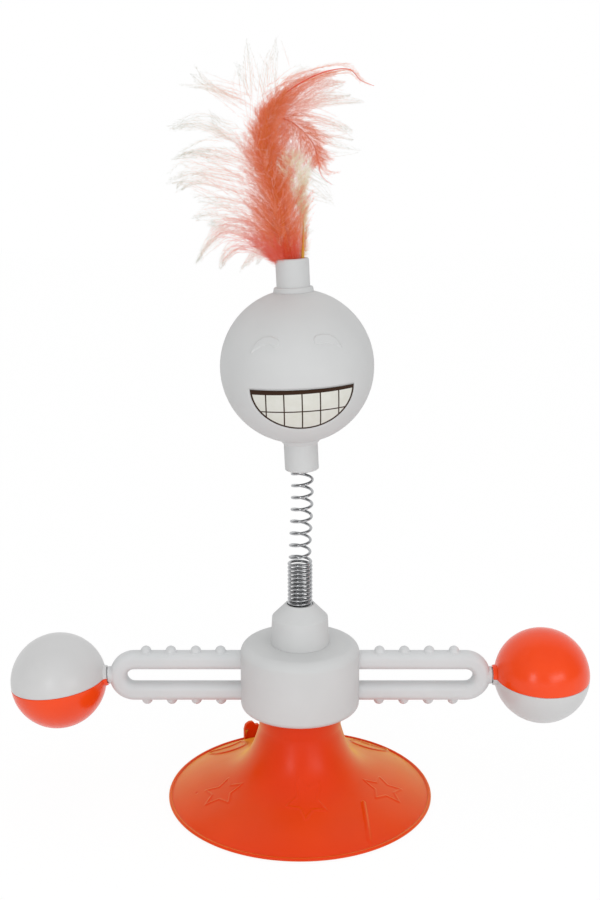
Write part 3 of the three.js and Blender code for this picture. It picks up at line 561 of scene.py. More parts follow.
# %% Pull tab
def slab(outline, thickness, edge, steps=5):
    """A flat outline (n, 2) made solid along Y: each ring is the outline moved in along the round edge."""
    outline = np.asarray(outline, float)
    after = np.roll(outline, -1, 0) - outline
    before = outline - np.roll(outline, 1, 0)
    after /= np.linalg.norm(after, axis=1, keepdims=True)
    before /= np.linalg.norm(before, axis=1, keepdims=True)
    tangent = after + before
    tangent /= np.linalg.norm(tangent, axis=1, keepdims=True)
    inwards = np.stack([-tangent[:, 1], tangent[:, 0]], -1)
    turn = np.linspace(0, np.pi / 2, steps + 1)
    front = np.stack([edge * (1 - np.sin(turn)), edge * (1 - np.cos(turn))], -1)
    back = np.stack([front[::-1, 0], thickness - front[::-1, 1]], -1)
    rings = np.concatenate([front, back])
    flat = outline[None] + rings[:, :1, None] * inwards[None]
    grid = np.stack([flat[..., 0], np.repeat(rings[:, 1:], len(outline), 1), flat[..., 1]], -1)
    return capped(grid, grid[[0, -1]].mean(1, keepdims=True))


tab_corners = [(-3.3, 0.3, 0.1), (-3.3, 5.6, 0.2), (-2.7, 7.8, 1.2), (-0.9, 8.8, 1.4)]
tab_corners += [(0.7, 8.6, 0.7), (1.8, 7.1, 0.3), (3.3, 7.1, 0.4), (3.3, 0.3, 0.1)]
tab_thickness = 1.8
tab_place = rotation("Z", 25) @ shift(0, rim_radius - 2.9, 0)
tab_grid = carried(slab(rounded(tab_corners)[::-1], tab_thickness, 0.35), tab_place)
tab_mesh = skin("pull_tab", [(tab_grid, False, True)])
place("cup", cup_mesh, orange_rubber, "base", "orange_rubber", ["suction_cup"])
place("pull_tab", tab_mesh, orange_rubber, "base", "orange_rubber")

# %% [markdown]
# ## Hub and collar
# The hub is a drum with soft edges, and the collar on top of it holds the foot of the spring. Both are
# plain turned mouldings. The drum is hollow, because the bearing sits inside.

# %% Hub and collar
hub_bottom, hub_top = 36.3, 61.7
hub_corners = [
    (8, hub_top, 0.3),
    (22.5, hub_top, 3.7),
    (22.5, hub_bottom, 3.7),
    (18.1, hub_bottom, 0.3),
    (18.1, 38.4),
    (20.4, 38.4),
    (20.4, 59.6),
    (8, 59.6),
]
hub_mesh = skin("hub_housing", [(turned(rounded(hub_corners, steps=12), 192), True, True)])
place("hub_drum", hub_mesh, white_satin, "hub", "white_plastic", ["hub_housing"])

collar_corners = [
    (0, 57.4, 0),
    (7.7, 57.4),
    (7.7, 61.72),
    (11, 61.72, 0.05),
    (10.5, 72.2, 0.7),
    (5.5, 77.3, 0.3),
    (4.78, 77.3, 0.12),
    (4.78, 76.2),
    (5.0, 76.0),
    (5.0, 69.8),
    (0, 69.8, 0),
]
collar_mesh = skin("spring_collar", [(turned(rounded(collar_corners, False)), False, True)])
place("collar", collar_mesh, white_satin, "hub", "white_plastic", ["spring_collar"])

# %% [markdown]
# ## Arms
# Each arm is a loop of soft rubber with four nubs above and four below, and a stub that carries its ball.
# The loop is a rounded rectangle carried round a closed line. The nubs and the stub are turned shapes, and
# a boolean union makes one skin of them all, because on the real arm they are one moulding.

# %% Arm loop
arm_height = 48.5
arm_reach = 72.3
leg_middle = 6.2
leg_height = 6.6
arm_thickness = 7.0
arm_bend = arm_reach - leg_middle - leg_height / 2
droops = {"left": 6.2, "right": 0.0}


def arm_place(side):
    """Where an arm stands: the right arm runs along X, and the left one is turned half round."""
    return shift(z=arm_height) @ rotation("Z", 180 if side == "left" else 0)


def loop_line():
    """Middle line of the loop, in the arm's plane: two legs, a half circle outside, a square end inside."""
    inner = 17.0
    corner = 3.5
    upper = np.stack([np.linspace(inner + corner, arm_bend, 120), np.full(120, leg_middle)], -1)
    outside = arc((arm_bend, 0), leg_middle, 90, -90, 60)[1:-1]
    back = arc((inner + corner, corner - leg_middle), corner, -90, -180, 8)[1:]
    up = arc((inner + corner, leg_middle - corner), corner, 180, 90, 8)[:-1]
    return np.concatenate([upper, outside, upper[::-1] * [1, -1], back, up])


def swept(line, section):
    """A closed section (m, 2) carried round a closed flat line (n, 2) in the XZ plane.

    Point = line + section_x * outward normal in the plane + section_y * Y.
    """
    way = np.roll(line, -1, 0) - np.roll(line, 1, 0)
    way /= np.linalg.norm(way, axis=1, keepdims=True)
    normal = np.stack([-way[:, 1], way[:, 0]], -1)
    flat = line[:, None] + section[None, :, :1] * normal[:, None]
    deep = np.repeat(section[None, :, 1], len(line), 0)
    return np.stack([flat[..., 0], deep, flat[..., 1]], -1)


half_height = leg_height / 2
half_thickness = arm_thickness / 2
section_corners = [(-half_height, -half_thickness), (half_height, -half_thickness)]
section_corners += [(half_height, half_thickness), (-half_height, half_thickness)]
leg_fillet = 2.5
leg_section = rounded([(x, y, leg_fillet) for x, y in section_corners], steps=8)
loop_grid = swept(loop_line(), leg_section)

nub_outline = [(0, 2.2), (0.7, 2.1), (1.25, 1.8), (1.7, 1.35), (1.95, 0.8), (2.02, 0.35)]
nub_outline += [(2.15, 0.08), (2.5, -0.1), (2.5, -1.2), (0, -1.2)]
nub = turned(nub_outline, 32)
first_nub = 30.1
nub_step = 9.4
nub_places = [(first_nub + nub_step * k, side) for k in range(4) for side in (1, -1)]
print("loop:", loop_grid.shape, "nubs:", len(nub_places))


# %% Arms
def united(mesh, others):
    """One skin from meshes that overlap, by Blender's exact boolean union."""
    whole = bpy.data.objects.new("whole", mesh)
    bpy.context.scene.collection.objects.link(whole)
    tools = []
    for other in others:
        tool = bpy.data.objects.new("tool", other)
        bpy.context.scene.collection.objects.link(tool)
        join = whole.modifiers.new("join", "BOOLEAN")
        join.operation = "UNION"
        join.solver = "EXACT"
        join.object = tool
        tools.append(tool)
    depsgraph = bpy.context.evaluated_depsgraph_get()
    result = bpy.data.meshes.new_from_object(whole.evaluated_get(depsgraph))
    for used in [*tools, whole]:
        bpy.data.objects.remove(used)
    return result


def arm_mesh(side, droop):
    """The loop, its nubs, and the stub, which leaves the arm's end at the angle that the ball hangs at."""
    arm_frame = arm_place(side)
    loop = skin("arm_" + side, [(carried(loop_grid, arm_frame), True, True)])
    nubs = []
    for reach, up in nub_places:
        turn = rotation("X", 0 if up == 1 else 180)
        spot = arm_frame @ shift(reach, 0, up * (leg_middle + half_height)) @ turn
        nubs.append((carried(nub, spot), False, True))
    stub_corners = [(0, -3.4, 0), (3.3, -3.4), (3.3, 0.45, 0.3), (2.6, 0.5), (2.6, 5), (0, 5, 0)]
    stub_outline = rounded(stub_corners, False)
    stub_place = arm_frame @ shift(arm_reach) @ rotation("Y", droop) @ rotation("Y", 90)
    stub = skin("stub", [(carried(turned(stub_outline, 48), stub_place), False, True)])
    return united(loop, [skin("nubs", nubs), stub])


for side, droop in droops.items():
    mesh = arm_mesh(side, droop)
    mesh.materials.clear()
    place("arm_loop_" + side, mesh, white_rubber, "hub", "white_rubber", ["arm_" + side])
    mesh.set_sharp_from_angle(angle=np.radians(50))

# %% [markdown]
# ## Balls
# Each ball is two moulded half shells, white and orange, that snap together. A half shell is turned about
# the upright, with a tiny round edge where the halves meet, so that a fine line shows between the colours.
# A low collar round the hole for the stub belongs half to each shell.

# %% Balls
ball_radius = 18.0
ball_wall = 1.6
seam_gap = 0.05
ball_centre = 19.6


def half_shell():
    """Upper half of a ball: the outer arc from pole to seam, the flat rim, and the inner arc back."""
    outside = arc((0, 0), ball_radius, 90, 0.9, 46)
    rim = [(ball_radius - 0.03, seam_gap + 0.1), (ball_radius - 0.12, seam_gap)]
    rim += [(ball_radius - ball_wall, seam_gap)]
    inside = arc((0, 0), ball_radius - ball_wall, 1.5, 90, 20)
    outline = np.concatenate([outside, rim, inside])
    outline[[0, -1], 0] = 0
    return turned(outline, 160)


def half_collar():
    """Upper half of the collar round the stub: a section turned half way about X, with closed ends."""
    corners = [(-18.8, 2.95, 0.1), (-18.8, 3.75, 0.2), (-17.4, 4.05, 0.1), (-16.8, 2.95, 0.1)]
    length, radius = rounded(corners, steps=4).T
    angle = np.radians(np.linspace(0.8, 179.2, 49))
    deep = np.outer(np.cos(angle), radius)
    up = np.outer(np.sin(angle), radius)
    grid = np.stack([np.repeat(length[None], len(angle), 0), deep, up], -1)
    return capped(grid, grid[[0, -1]].mean(1, keepdims=True))


def ball(side, roll, colours):
    """Both halves of a ball at the end of its arm."""
    arm_end = arm_place(side) @ shift(arm_reach) @ rotation("Y", droops[side])
    ball_frame = arm_end @ shift(ball_centre) @ rotation("X", roll)
    for half, flip, (material, slot) in zip(("upper", "lower"), (0, 180), colours):
        spot = ball_frame @ rotation("X", flip)
        grids = [(carried(grid, spot), False, True) for grid in (half_shell(), half_collar())]
        name = f"ball_{side}_{half}"
        place(name + "_half", skin(name, grids), material, "ball_" + side, slot, [name + "_shell"])


white_half = (white_plastic, "white_plastic")
orange_half = (orange_plastic, "orange_plastic")
right_roll = 5.5
ball("left", 0.0, (white_half, orange_half))
ball("right", right_roll, (orange_half, white_half))

# %% [markdown]
# ## Neck spring
# The spring is one drawn wire: close turns in the collar, open turns up to the head, and close turns again
# in its socket. Its middle line is a helix whose pitch and radius change smoothly, round an axis that
# drifts over to the leaning head. It bends at two joints in the model, so the wire is cut in two between
# them; neither half is tied to a body.

# %% Middle line of the wire
wire_radius = 0.53
wire_foot = 70.63
close_turns, open_turns, top_turns = 15.25, 7.6, 2.4
close_pitch, open_pitch = 1.52, 4.586
close_radius, open_radius = 4.15, 3.7
wire_start = -58
open_start = wire_foot + close_turns * close_pitch
neck_top, head_drift, head_lean = 129.0, 0.73, 2.65


def wire_line(steps_per_turn=40):
    """Points on the wire: pitch runs smoothly from close to open turns and back, 25.25 turns in all.

    Up to the neck's top the axis drifts by a cubic in t = share of the way up: it starts upright, and ends
    head_drift to the side with the slope of the leaning head. Above that it runs on straight.
    """
    turn = np.arange(0, close_turns + open_turns + top_turns, 1 / steps_per_turn)
    opened = smooth(turn, close_turns - 0.4, close_turns + 0.6)
    closed = smooth(turn, close_turns + open_turns, close_turns + open_turns + 0.5)
    pitch = close_pitch + (open_pitch - close_pitch) * (opened - closed)
    height = wire_foot + np.concatenate([[0], np.cumsum(pitch[:-1]) / steps_per_turn])
    radius = close_radius + (open_radius - close_radius) * opened
    angle = np.radians(wire_start) + 2 * np.pi * turn
    span = neck_top - open_start
    end_slope = -np.tan(np.radians(head_lean))
    t = np.clip((height - open_start) / span, 0, 1)
    middle = head_drift * (3 * t**2 - 2 * t**3) + end_slope * span * (t**3 - t**2)
    middle += end_slope * np.clip(height - neck_top, 0, None)
    slope = (head_drift * (6 * t - 6 * t**2) + end_slope * span * (3 * t**2 - 2 * t)) / span
    tilt = np.arctan(np.where(t < 1, slope, end_slope))
    across = radius * np.cos(angle)
    sideways = middle + across * np.cos(tilt)
    return np.stack([sideways, radius * np.sin(angle), height - across * np.sin(tilt)], -1)


def tube(line, radius, sides):
    """Rings of a tube along a line: each ring lies in the plane of two directions square to the line."""
    way = np.gradient(line, axis=0)
    way /= np.linalg.norm(way, axis=1, keepdims=True)
    side = np.cross(way, [0, 0, 1])
    side /= np.linalg.norm(side, axis=1, keepdims=True)
    over = np.cross(side, way)
    angle = np.arange(sides + 1) * 2 * np.pi / sides
    ring = side[:, None] * np.cos(angle)[:, None] + over[:, None] * np.sin(angle)[:, None]
    return line[:, None] + radius * ring


# %% Two halves of the spring
wire = wire_line()
cut_height = 111.5
cut = int(np.argmax(wire[:, 2] > cut_height))
wire_sides = 14


def wire_piece(name, line, stands_for):
    """A stretch of the wire, a closed tube along the line from start to end, given in millimetres."""
    grid = capped(tube(line, wire_radius, wire_sides), line[[0, -1], None])
    u, v = np.meshgrid(np.linspace(0, 1, grid.shape[1]), np.arange(grid.shape[0]) / 10)
    mesh = skin(name, [(grid, False, False)], chart=np.stack([u, v], -1).reshape(-1, 2))
    piece = place(name, mesh, spring_steel, None, "spring_steel", stands_for)
    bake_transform(piece)


lower_line, upper_line = wire[: cut + 1], wire[cut:]
wire_piece("spring_lower", lower_line, ["spring"])
wire_piece("spring_upper", upper_line, [])

# %% [markdown]
# ## Head
# The head is a hollow ball with a tube below for the spring and one above for the plume. The front carries
# the face: two raised eyes shut in a laugh, and a shallow recess for the printed grin. A ball drawn as
# longitudes and latitudes can hold both, if its lines lie close together over the face, where each point
# moves in or out along its own radius.

# %% Frame of the head and the grid of its ball
head_radius = 27.66
head_wall = 1.8
head_frame = shift(-1.035, 0, 167.14) @ rotation("Y", -head_lean) @ rotation("Z", 3.5)
grin_half_width, grin_top, grin_drop, grin_middle = 17.95, -3.9, 14.85, 0.25


def grin_edge(t, margin=0.0):
    """Outline of the grin: t from 0 to 1 runs along half an ellipse under a straight top edge."""
    angle = np.pi * (1 + t)
    across = grin_middle + (grin_half_width + margin) * np.cos(angle)
    return np.stack([across, grin_top + (grin_drop + margin) * np.sin(angle)], -1)


grin_line = grin_edge(np.linspace(0, 1, 121))


def outside_grin(points):
    """Distance to the grin's outline, negative inside it."""
    gap, _ = distance_to_line(points, grin_line, closed=True)
    x = (points[:, 0] - grin_middle) / grin_half_width
    z = (points[:, 1] - grin_top) / grin_drop
    return np.where((z < 0) & (x**2 + z**2 < 1), -gap, gap)


left_eye = [(-8.3, 12.2), (-9.7, 12.7), (-11.4, 12.7), (-13.5, 11.8), (-15.1, 10.4), (-16.4, 8.8)]
right_eye = [(6.2, 12.4), (7.9, 12.7), (9.9, 12.5), (11.7, 11.7), (13.0, 10.6), (14.1, 9.3)]
eye_widths = [1.35, 1.35, 1.2, 0.9, 0.5, 0.1]
eye_height = 0.5
recess_depth = 0.4


def face_relief(points):
    """How far the face stands out of the ball: the eyes stand out, and the grin lies in a shallow recess."""
    height = np.zeros(len(points))
    for eye in (left_eye, right_eye):
        gap, share = distance_to_line(points, eye)
        half_width = np.interp(share, np.linspace(0, 1, len(eye_widths)), eye_widths)
        height = np.maximum(height, eye_height * (1 - smooth(gap - half_width, -0.2, 0.22)))
    return height - recess_depth * (1 - smooth(outside_grin(points), 0.1, 0.8))


face_step = 0.36


def head_grid():
    """The outside, with lines close together over the face; then wide rows back down the inside.

    A point is its radius times (cos(lat) sin(long), -cos(lat) cos(long), sin(lat)).
    """
    longitude = np.radians(np.concatenate([np.arange(-45, 45, face_step), np.arange(45, 315, 3)]))
    below, face, over = np.arange(-76.3, -44, 2), np.arange(-43.9, 34, face_step), np.linspace(36, 76.3, 20)
    latitude = np.radians(np.concatenate([below, face, over]))
    across = np.outer(np.cos(latitude), np.sin(longitude))
    deep = -np.outer(np.cos(latitude), np.cos(longitude))
    up = np.repeat(np.sin(latitude)[:, None], len(longitude), 1)
    outer = np.stack([across, deep, up], -1)
    spots = head_radius * outer[..., [0, 2]].reshape(-1, 2)
    in_front = (outer[..., 1] < -0.2).ravel()
    stand_out = np.zeros(len(spots))
    stand_out[in_front] = face_relief(spots[in_front])
    radius = head_radius + stand_out.reshape(outer.shape[:2])
    inner = outer[np.linspace(len(latitude) - 1, 0, 24).astype(int)] * (head_radius - head_wall)
    return np.concatenate([outer * radius[..., None], inner])


head_mesh = skin("head_ball", [(carried(head_grid(), head_frame), True, True)])
head_shells = ["head_front_shell", "head_rear_shell"]
place("head_ball", head_mesh, white_satin, "head", "white_plastic", head_shells)

# %% [markdown]
# ## Tubes of the head
# The socket below grips the spring, and the holder above grips the quills. Each is turned with a ring where
# it meets the ball, and it is open at its end.

# %% Socket and holder
socket_corners = [
    (0, -21.8, 0),
    (6.2, -21.8),
    (6.2, -26.9, 0.05),
    (7.5, -26.62, 0.05),
    (6.2, -28.3, 0.8),
    (6.2, -38.18, 0.8),
    (4.65, -38.18, 0.15),
    (4.65, -29.18),
    (0, -29.18, 0),
]
holder_corners = [
    (0, 18, 0),
    (5.97, 18),
    (5.97, 26.9, 0.05),
    (7.25, 26.7, 0.05),
    (6.95, 28.5, 0.5),
    (5.97, 28.5, 0.2),
    (5.97, 38.5, 0.9),
    (4.5, 38.5, 0.2),
    (4.5, 19.5),
    (0, 19.5, 0),
]
for name, corners in (("spring_socket", socket_corners), ("feather_holder", holder_corners)):
    tube_mesh = skin(name, [(carried(turned(rounded(corners, False), 96), head_frame), False, True)])
    place(name + "_tube", tube_mesh, white_satin, "head", "white_plastic", [name])

# %% [markdown]
# ## Grin
# The grin is a thin plate in the recess, printed with dark lines: a frame, a heavy top lip, and the gaps of
# the teeth. The lines are drawn by the material, from a chart in which u and v are millimetres across and
# up the face. The distance to the outline is worked out for each point and kept as an attribute, for the
# frame.

# %% Printed plate
chart_span = 40.0


def grin_plate_grid():
    """Columns s across and rows t down, then the underside.

    x = half width sin(pi s / 2) and z = top - t drop cos(pi s / 2), with s from -1 to 1 and t from 0 to 1. The
    point's y puts it on a ball round the middle of the head.
    """
    across = np.sin(np.linspace(-1, 1, 181) * np.pi / 2)
    down = np.linspace(0, 1, 71)
    x = grin_middle + grin_half_width * np.repeat(across[None], len(down), 0)
    z = grin_top - grin_drop * np.outer(down, np.sqrt(np.clip(1 - across**2, 0, None)))
    x = np.concatenate([x, x[::-1]])
    z = np.concatenate([z, z[::-1]])
    level = np.repeat([head_radius - 0.1, head_radius - 0.36], len(down))[:, None]
    return np.stack([x, -np.sqrt(level**2 - x**2 - z**2), z], -1)


plate = grin_plate_grid()
plate_spots = plate[..., [0, 2]].reshape(-1, 2)
plate_mesh = skin(
    "grin",
    [(carried(plate, head_frame), True, False)],
    fields={"edge": -outside_grin(plate_spots)},
    chart=plate_spots / chart_span + 0.5,
)


tooth_gaps = (-12.5, -6.4, -0.2, 6.1, 12.6)
bite_line = -11.8
lip_width = 1.5


def line_of_ink(distance):
    """Full ink up to 0.16 mm from the middle of a line, and none beyond 0.28 mm."""
    return 1 - distance.rises(0.16, 0.28)


def printed_teeth(name):
    """White teeth with dark lines: each line is a band round a value of x or z, with a soft edge."""
    material, nodes = new_material(name)
    chart = nodes.add("UVMap", {"uv_map": "chart"})
    spot = nodes.add("SeparateXYZ", values={"Vector": chart}).socket.node
    x = (Wire(nodes, spot.outputs["X"]) - 0.5) * chart_span
    z = (Wire(nodes, spot.outputs["Y"]) - 0.5) * chart_span
    edge = nodes.add("Attribute", {"attribute_name": "edge"}, output="Fac")
    ink = 1 - edge.rises(0.56, 0.68)
    ink = ink.most((z - x * 0.012).rises(grin_top - lip_width, grin_top - lip_width + 0.1))
    for tooth_gap in tooth_gaps:
        ink = ink.most(line_of_ink(abs(x - tooth_gap)))
    ink = ink.most(line_of_ink(abs(z - bite_line)))
    here = nodes.add("TexCoord", output="Object")
    drift = nodes.noise(here, 300, 3)
    tooth = nodes.mix(paint(218, 218, 209), paint(223, 223, 216), drift.rises(0.3, 0.7))
    colour = nodes.mix(tooth, paint(50, 26, 5), ink)
    bump = nodes.add("Bump", values={"Height": ink, "Distance": 0.02 * MM, "Strength": 0.5})
    sockets = {"Base Color": colour, "Roughness": 0.42 + ink * 0.05, "Normal": bump}
    coat_with(nodes, sockets | {"Specular IOR Level": 0.2})
    return material


place("grin", plate_mesh, printed_teeth("teeth_print"), "head", "teeth_print", ["grin_plate"])

# %% [markdown]
# ## Plume
# The plume is marabou, the down of a bird: soft barbs that leave a quill, each fringed with barbules finer
# than a hair. Fur tools would make hair that can't be exported, so each barb and barbule is a thin closed
# tube with three sides. They are worked out all together as arrays: a barb is a curve from the quill to a
# tip, and barbules stand off along it.


# %% Curves and hairs
def along(points, t):
    """Points at shares t of a smooth curve through the given ones (Catmull-Rom).

    Between b and c, with a before and d after, the point is half of 2b + (c - a) f + (2a - 5b + 4c - d) f^2
    + (3b - 3c + d - a) f^3.
    """
    p = np.asarray(points, float)
    p = np.vstack([2 * p[0] - p[1], p, 2 * p[-1] - p[-2]])
    reach = np.clip(t, 0, 1) * (len(p) - 3)
    i = np.minimum(reach.astype(int), len(p) - 4)
    f = (reach - i)[..., None]
    a, b, c, d = p[i], p[i + 1], p[i + 2], p[i + 3]
    return 0.5 * (2 * b + (c - a) * f + (2 * a - 5 * b + 4 * c - d) * f**2 + (3 * b - 3 * c + d - a) * f**3)


def hairs(lines, thickness, tint, random):
    """Three-sided closed tubes along lines (n, stations, 3), pointed at both ends.

    Thickness and tint are (n, stations). Each hair has its first point, rings of three, and its last point.
    """
    count, stations = lines.shape[:2]
    way = np.gradient(lines, axis=1)
    way /= np.maximum(np.linalg.norm(way, axis=2, keepdims=True), 1e-9)
    side = np.cross(way, random.normal(size=(count, 1, 3)))
    side /= np.maximum(np.linalg.norm(side, axis=2, keepdims=True), 1e-9)
    over = np.cross(way, side)
    angle = np.arange(3) * 2 * np.pi / 3
    ring = side[:, :, None] * np.cos(angle)[:, None] + over[:, :, None] * np.sin(angle)[:, None]
    rings = (lines[:, :, None] + thickness[:, :, None, None] * ring)[:, 1:-1].reshape(count, -1, 3)
    points = np.concatenate([lines[:, :1], rings, lines[:, -1:]], 1)
    tints = np.concatenate([tint[:, :1], np.repeat(tint[:, 1:-1], 3, 1), tint[:, -1:]], 1)
    size = points.shape[1]
    k, following = np.arange(3), (np.arange(3) + 1) % 3
    low = 1 + 3 * np.arange(stations - 3)[:, None]
    belts = np.stack([low + k, low + following, low + 3 + following, low + 3 + k], -1).reshape(-1, 4)
    last = size - 4
    foot = np.stack([np.zeros(3, int), 1 + following, 1 + k], -1)
    tip = np.stack([last + k, last + following, np.full(3, size - 1)], -1)
    tips = np.concatenate([foot, tip])
    start = size * np.arange(count)[:, None, None]
    return points.reshape(-1, 3), (tips + start).reshape(-1, 3), (belts + start).reshape(-1, 4), tints.ravel()


# %% Barbules
def barbules(lines, tint, spacing, length, random):
    """Fine hairs that stand off barbs: each starts at a point of its barb and leans forward, in a random way.

    Its point at share s is the root plus its length times (the barb's way s + outwards (0.75 s - 0.25 s^2)).
    """
    reach = np.linalg.norm(np.diff(lines, axis=1), axis=2).sum(1)
    number = np.maximum((reach / spacing).astype(int), 4)
    owner = np.repeat(np.arange(len(lines)), number)
    t = random.uniform(0.04, 0.97, len(owner))
    station = t * (lines.shape[1] - 1)
    low = np.minimum(station.astype(int), lines.shape[1] - 2)
    share = (station - low)[:, None]
    root = lines[owner, low] * (1 - share) + lines[owner, low + 1] * share
    way = lines[owner, low + 1] - lines[owner, low]
    way /= np.maximum(np.linalg.norm(way, axis=1, keepdims=True), 1e-9)
    out = np.cross(way, random.normal(size=way.shape))
    out /= np.maximum(np.linalg.norm(out, axis=1, keepdims=True), 1e-9)
    size = (length * random.uniform(0.5, 1.2, len(owner)) * (1 - 0.55 * t))[:, None]
    steps = np.array([0, 0.35, 0.75, 1.0])[None, :, None]
    lean = way[:, None] * steps + out[:, None] * (0.75 * steps - 0.25 * steps**2)
    line = root[:, None] + size[:, None] * lean
    own_tint = tint[owner, low] + 0.12 + 0.12 * random.normal(size=len(owner))
    return line, np.repeat(own_tint[:, None], 4, 1)


# %% [markdown]
# ## Where the barbs run
# The quills, the thick of the down and the tufts were read off the photograph as places in the frame of the
# head. Short barbs leave each quill and end anywhere in the thick, which is deep coral in its middle.
# Longer ones gather into tufts: they leave the core apart, close up towards one tip, and fade from coral to
# a pale grey green. The foot and the low tufts are redder in the photograph, so they have a material of
# their own.

# %% Quills, the thick of the down, and tufts
tall_quill = [(-2, 0, 36), (-2.3, 0, 43), (-3.5, 0, 51), (-4.1, 0, 62), (-6.9, 0, 70)]
tall_quill += [(-9.2, 0, 80), (-6.6, 0, 88), (-1.5, 0, 93), (5.5, 0, 97.5)]
curl_quill = [(-1, 1.5, 36), (-1.5, 3, 50), (-3, 4, 65), (-6, 3, 78), (-5.5, 1.5, 85)]
curl_quill += [(-0.5, 0.5, 86), (4.4, 0, 83), (9.0, 0, 77.5), (10.6, 0, 72), (11.2, 0, 67.5)]
cream_quill = [(3.4, 1.2, 36), (4.4, 2, 42), (4.7, 2.5, 50), (4.6, 1, 57), (2.4, -3.2, 68), (1.0, -4.6, 78)]
curl_widths = [1.5, 3, 5, 7, 8, 9, 9, 8, 6, 2.5]
cream_widths = [0.8, 1.1, 1.2, 1.4, 6.2, 6.0]
thick_heights = [38.5, 41, 44, 48.5, 56, 63, 70, 76, 83, 90, 95, 100]
thick_middles = [-0.4, -1.5, -3.8, -6.0, -5.8, -4.6, -5.0, -6.0, -6.4, -4.2, 0.5, 4.0]
thick_half_widths = [3.4, 5.0, 8.6, 11.4, 12.0, 12.0, 11.4, 10.5, 9.0, 6.6, 5.5, 4.0]
thick_depth_share = 0.85
depth_step = 3
sweep_path = [(-4.0, 89.0), (3.0, 97.4), (14.6, 101.0), (22.5, 101.4), (26.5, 97.6), (30.9, 95.6)]
tufts = [
    # path in the plane of the face, depth of the tip in steps, barbs, spread at the root, tints at both ends
    ([(-9.8, 92.0), (-22.8, 96.7), (-35.8, 98.2)], -3, 12, 3.0, 0.55, 1.0),
    ([(-11.5, 90.0), (-24.8, 97.3), (-31.7, 102.8)], 2, 8, 2.5, 0.55, 1.0),
    ([(-12.0, 91.0), (-24.2, 98.5), (-30.1, 105.2)], -1, 8, 2.5, 0.6, 1.0),
    ([(-8.5, 88.0), (-10.4, 103.2), (-11.6, 112.9)], 1, 14, 5.0, 0.6, 1.0),
    ([(-7.0, 89.0), (-5.2, 102.4), (-1.9, 112.7)], -2, 14, 4.5, 0.6, 1.0),
    ([(-9.8, 90.0), (-13.2, 99.8), (-16.2, 105.9)], 3, 9, 3.0, 0.6, 1.0),
    ([(-2.8, 94.0), (3.1, 99.5), (8.2, 103.0)], -1, 10, 2.5, 0.4, 0.9),
    (sweep_path, 0, 10, 1.8, 0.0, 0.12),
    ([(-4.0, 89.0), (4.0, 96.0), (12.0, 99.6), (19.0, 101.0)], 1, 60, 3.6, 0.08, 0.5),
    ([(-4.0, 87.0), (6.0, 94.0), (14.0, 96.8), (22.0, 97.5)], 2, 40, 4.2, 0.15, 0.75),
    ([(-3.0, 90.0), (3.7, 91.4), (16.9, 91.6), (27.0, 90.1)], -2, 20, 4.0, 0.3, 0.9),
    ([(-3.0, 89.0), (11.6, 92.6), (23.5, 93.3)], 1, 18, 3.5, 0.3, 0.9),
    ([(-1.0, 87.0), (13.9, 84.3), (22.8, 80.9)], -1, 16, 4.0, 0.35, 0.9),
    ([(0.8, 86.0), (16.5, 81.7), (24.2, 78.0)], 2, 12, 4.0, 0.45, 0.95),
    ([(3.8, 81.6), (16.1, 75.5), (25.9, 73.9)], 0, 12, 4.0, 0.6, 1.0),
    ([(5.6, 79.5), (12.2, 68.5), (18.3, 67.1)], -1, 14, 2.5, 0.2, 0.5),
    ([(2.7, 70.4), (7.9, 66.6), (16.4, 61.5)], 1, 12, 3.5, 0.8, 1.0),
    ([(2.0, 64.2), (9.2, 61.3), (15.7, 56.3)], -1, 12, 4.0, 0.8, 1.0),
    ([(3.4, 51.1), (5.4, 47.7), (8.1, 47.4)], 0, 4, 1.0, 0.9, 1.0),
    ([(-12.3, 78.6), (-28.8, 86.4), (-40.2, 84.3)], -2, 12, 4.0, 0.65, 1.0),
    ([(-12.2, 79.6), (-22.5, 84.1), (-25.8, 90.3)], 2, 9, 3.0, 0.65, 1.0),
    ([(-11.4, 76.5), (-26.0, 78.5), (-36.7, 76.2)], -3, 12, 4.0, 0.6, 1.0),
    ([(-10.8, 67.2), (-29.6, 74.8), (-40.9, 74.2)], 1, 15, 5.0, 0.5, 1.0),
    ([(-10.0, 62.0), (-30.0, 68.9), (-42.5, 66.7)], -2, 18, 5.0, 0.45, 1.0),
    ([(-10.2, 60.0), (-30.1, 66.9), (-39.5, 63.3)], 2, 14, 4.5, 0.45, 1.0),
    ([(-9.0, 56.0), (-23.6, 60.2), (-33.8, 60.7)], -1, 14, 4.5, 0.45, 1.0),
    ([(-9.4, 54.0), (-25.4, 56.8), (-34.2, 53.9)], 2, 13, 4.0, 0.45, 1.0),
    ([(-8.7, 49.2), (-22.4, 51.2), (-29.5, 52.6)], -2, 14, 4.0, 0.4, 1.0),
    ([(-4.6, 43.6), (-20.3, 49.6), (-28.0, 45.7), (-33.9, 38.2)], -1, 26, 3.0, 0.15, 0.95),
    ([(-3.0, 41.4), (-16.6, 44.6), (-23.0, 40.8), (-25.4, 35.5)], 1, 24, 2.6, 0.15, 0.95),
    ([(-2.4, 40.8), (-8.7, 42.6), (-14.3, 39.5), (-18.9, 34.8)], -2, 22, 2.4, 0.2, 0.95),
    ([(-2.0, 40.6), (-6.2, 41.6), (-10.0, 39.6), (-12.6, 36.2)], 2, 16, 2.0, 0.25, 0.9),
]
print("tufts:", len(tufts), "with", sum(count for _, _, count, *_ in tufts), "barbs")


# %% Barbs of the thick
def bent(first, middle, last, t):
    """A curve from first to last that leans to middle: (1 - t)^2 first + 2 t (1 - t) middle + t^2 last."""
    t = t[None, :, None]
    return (1 - t) ** 2 * first[:, None] + 2 * t * (1 - t) * middle[:, None] + t * t * last[:, None]


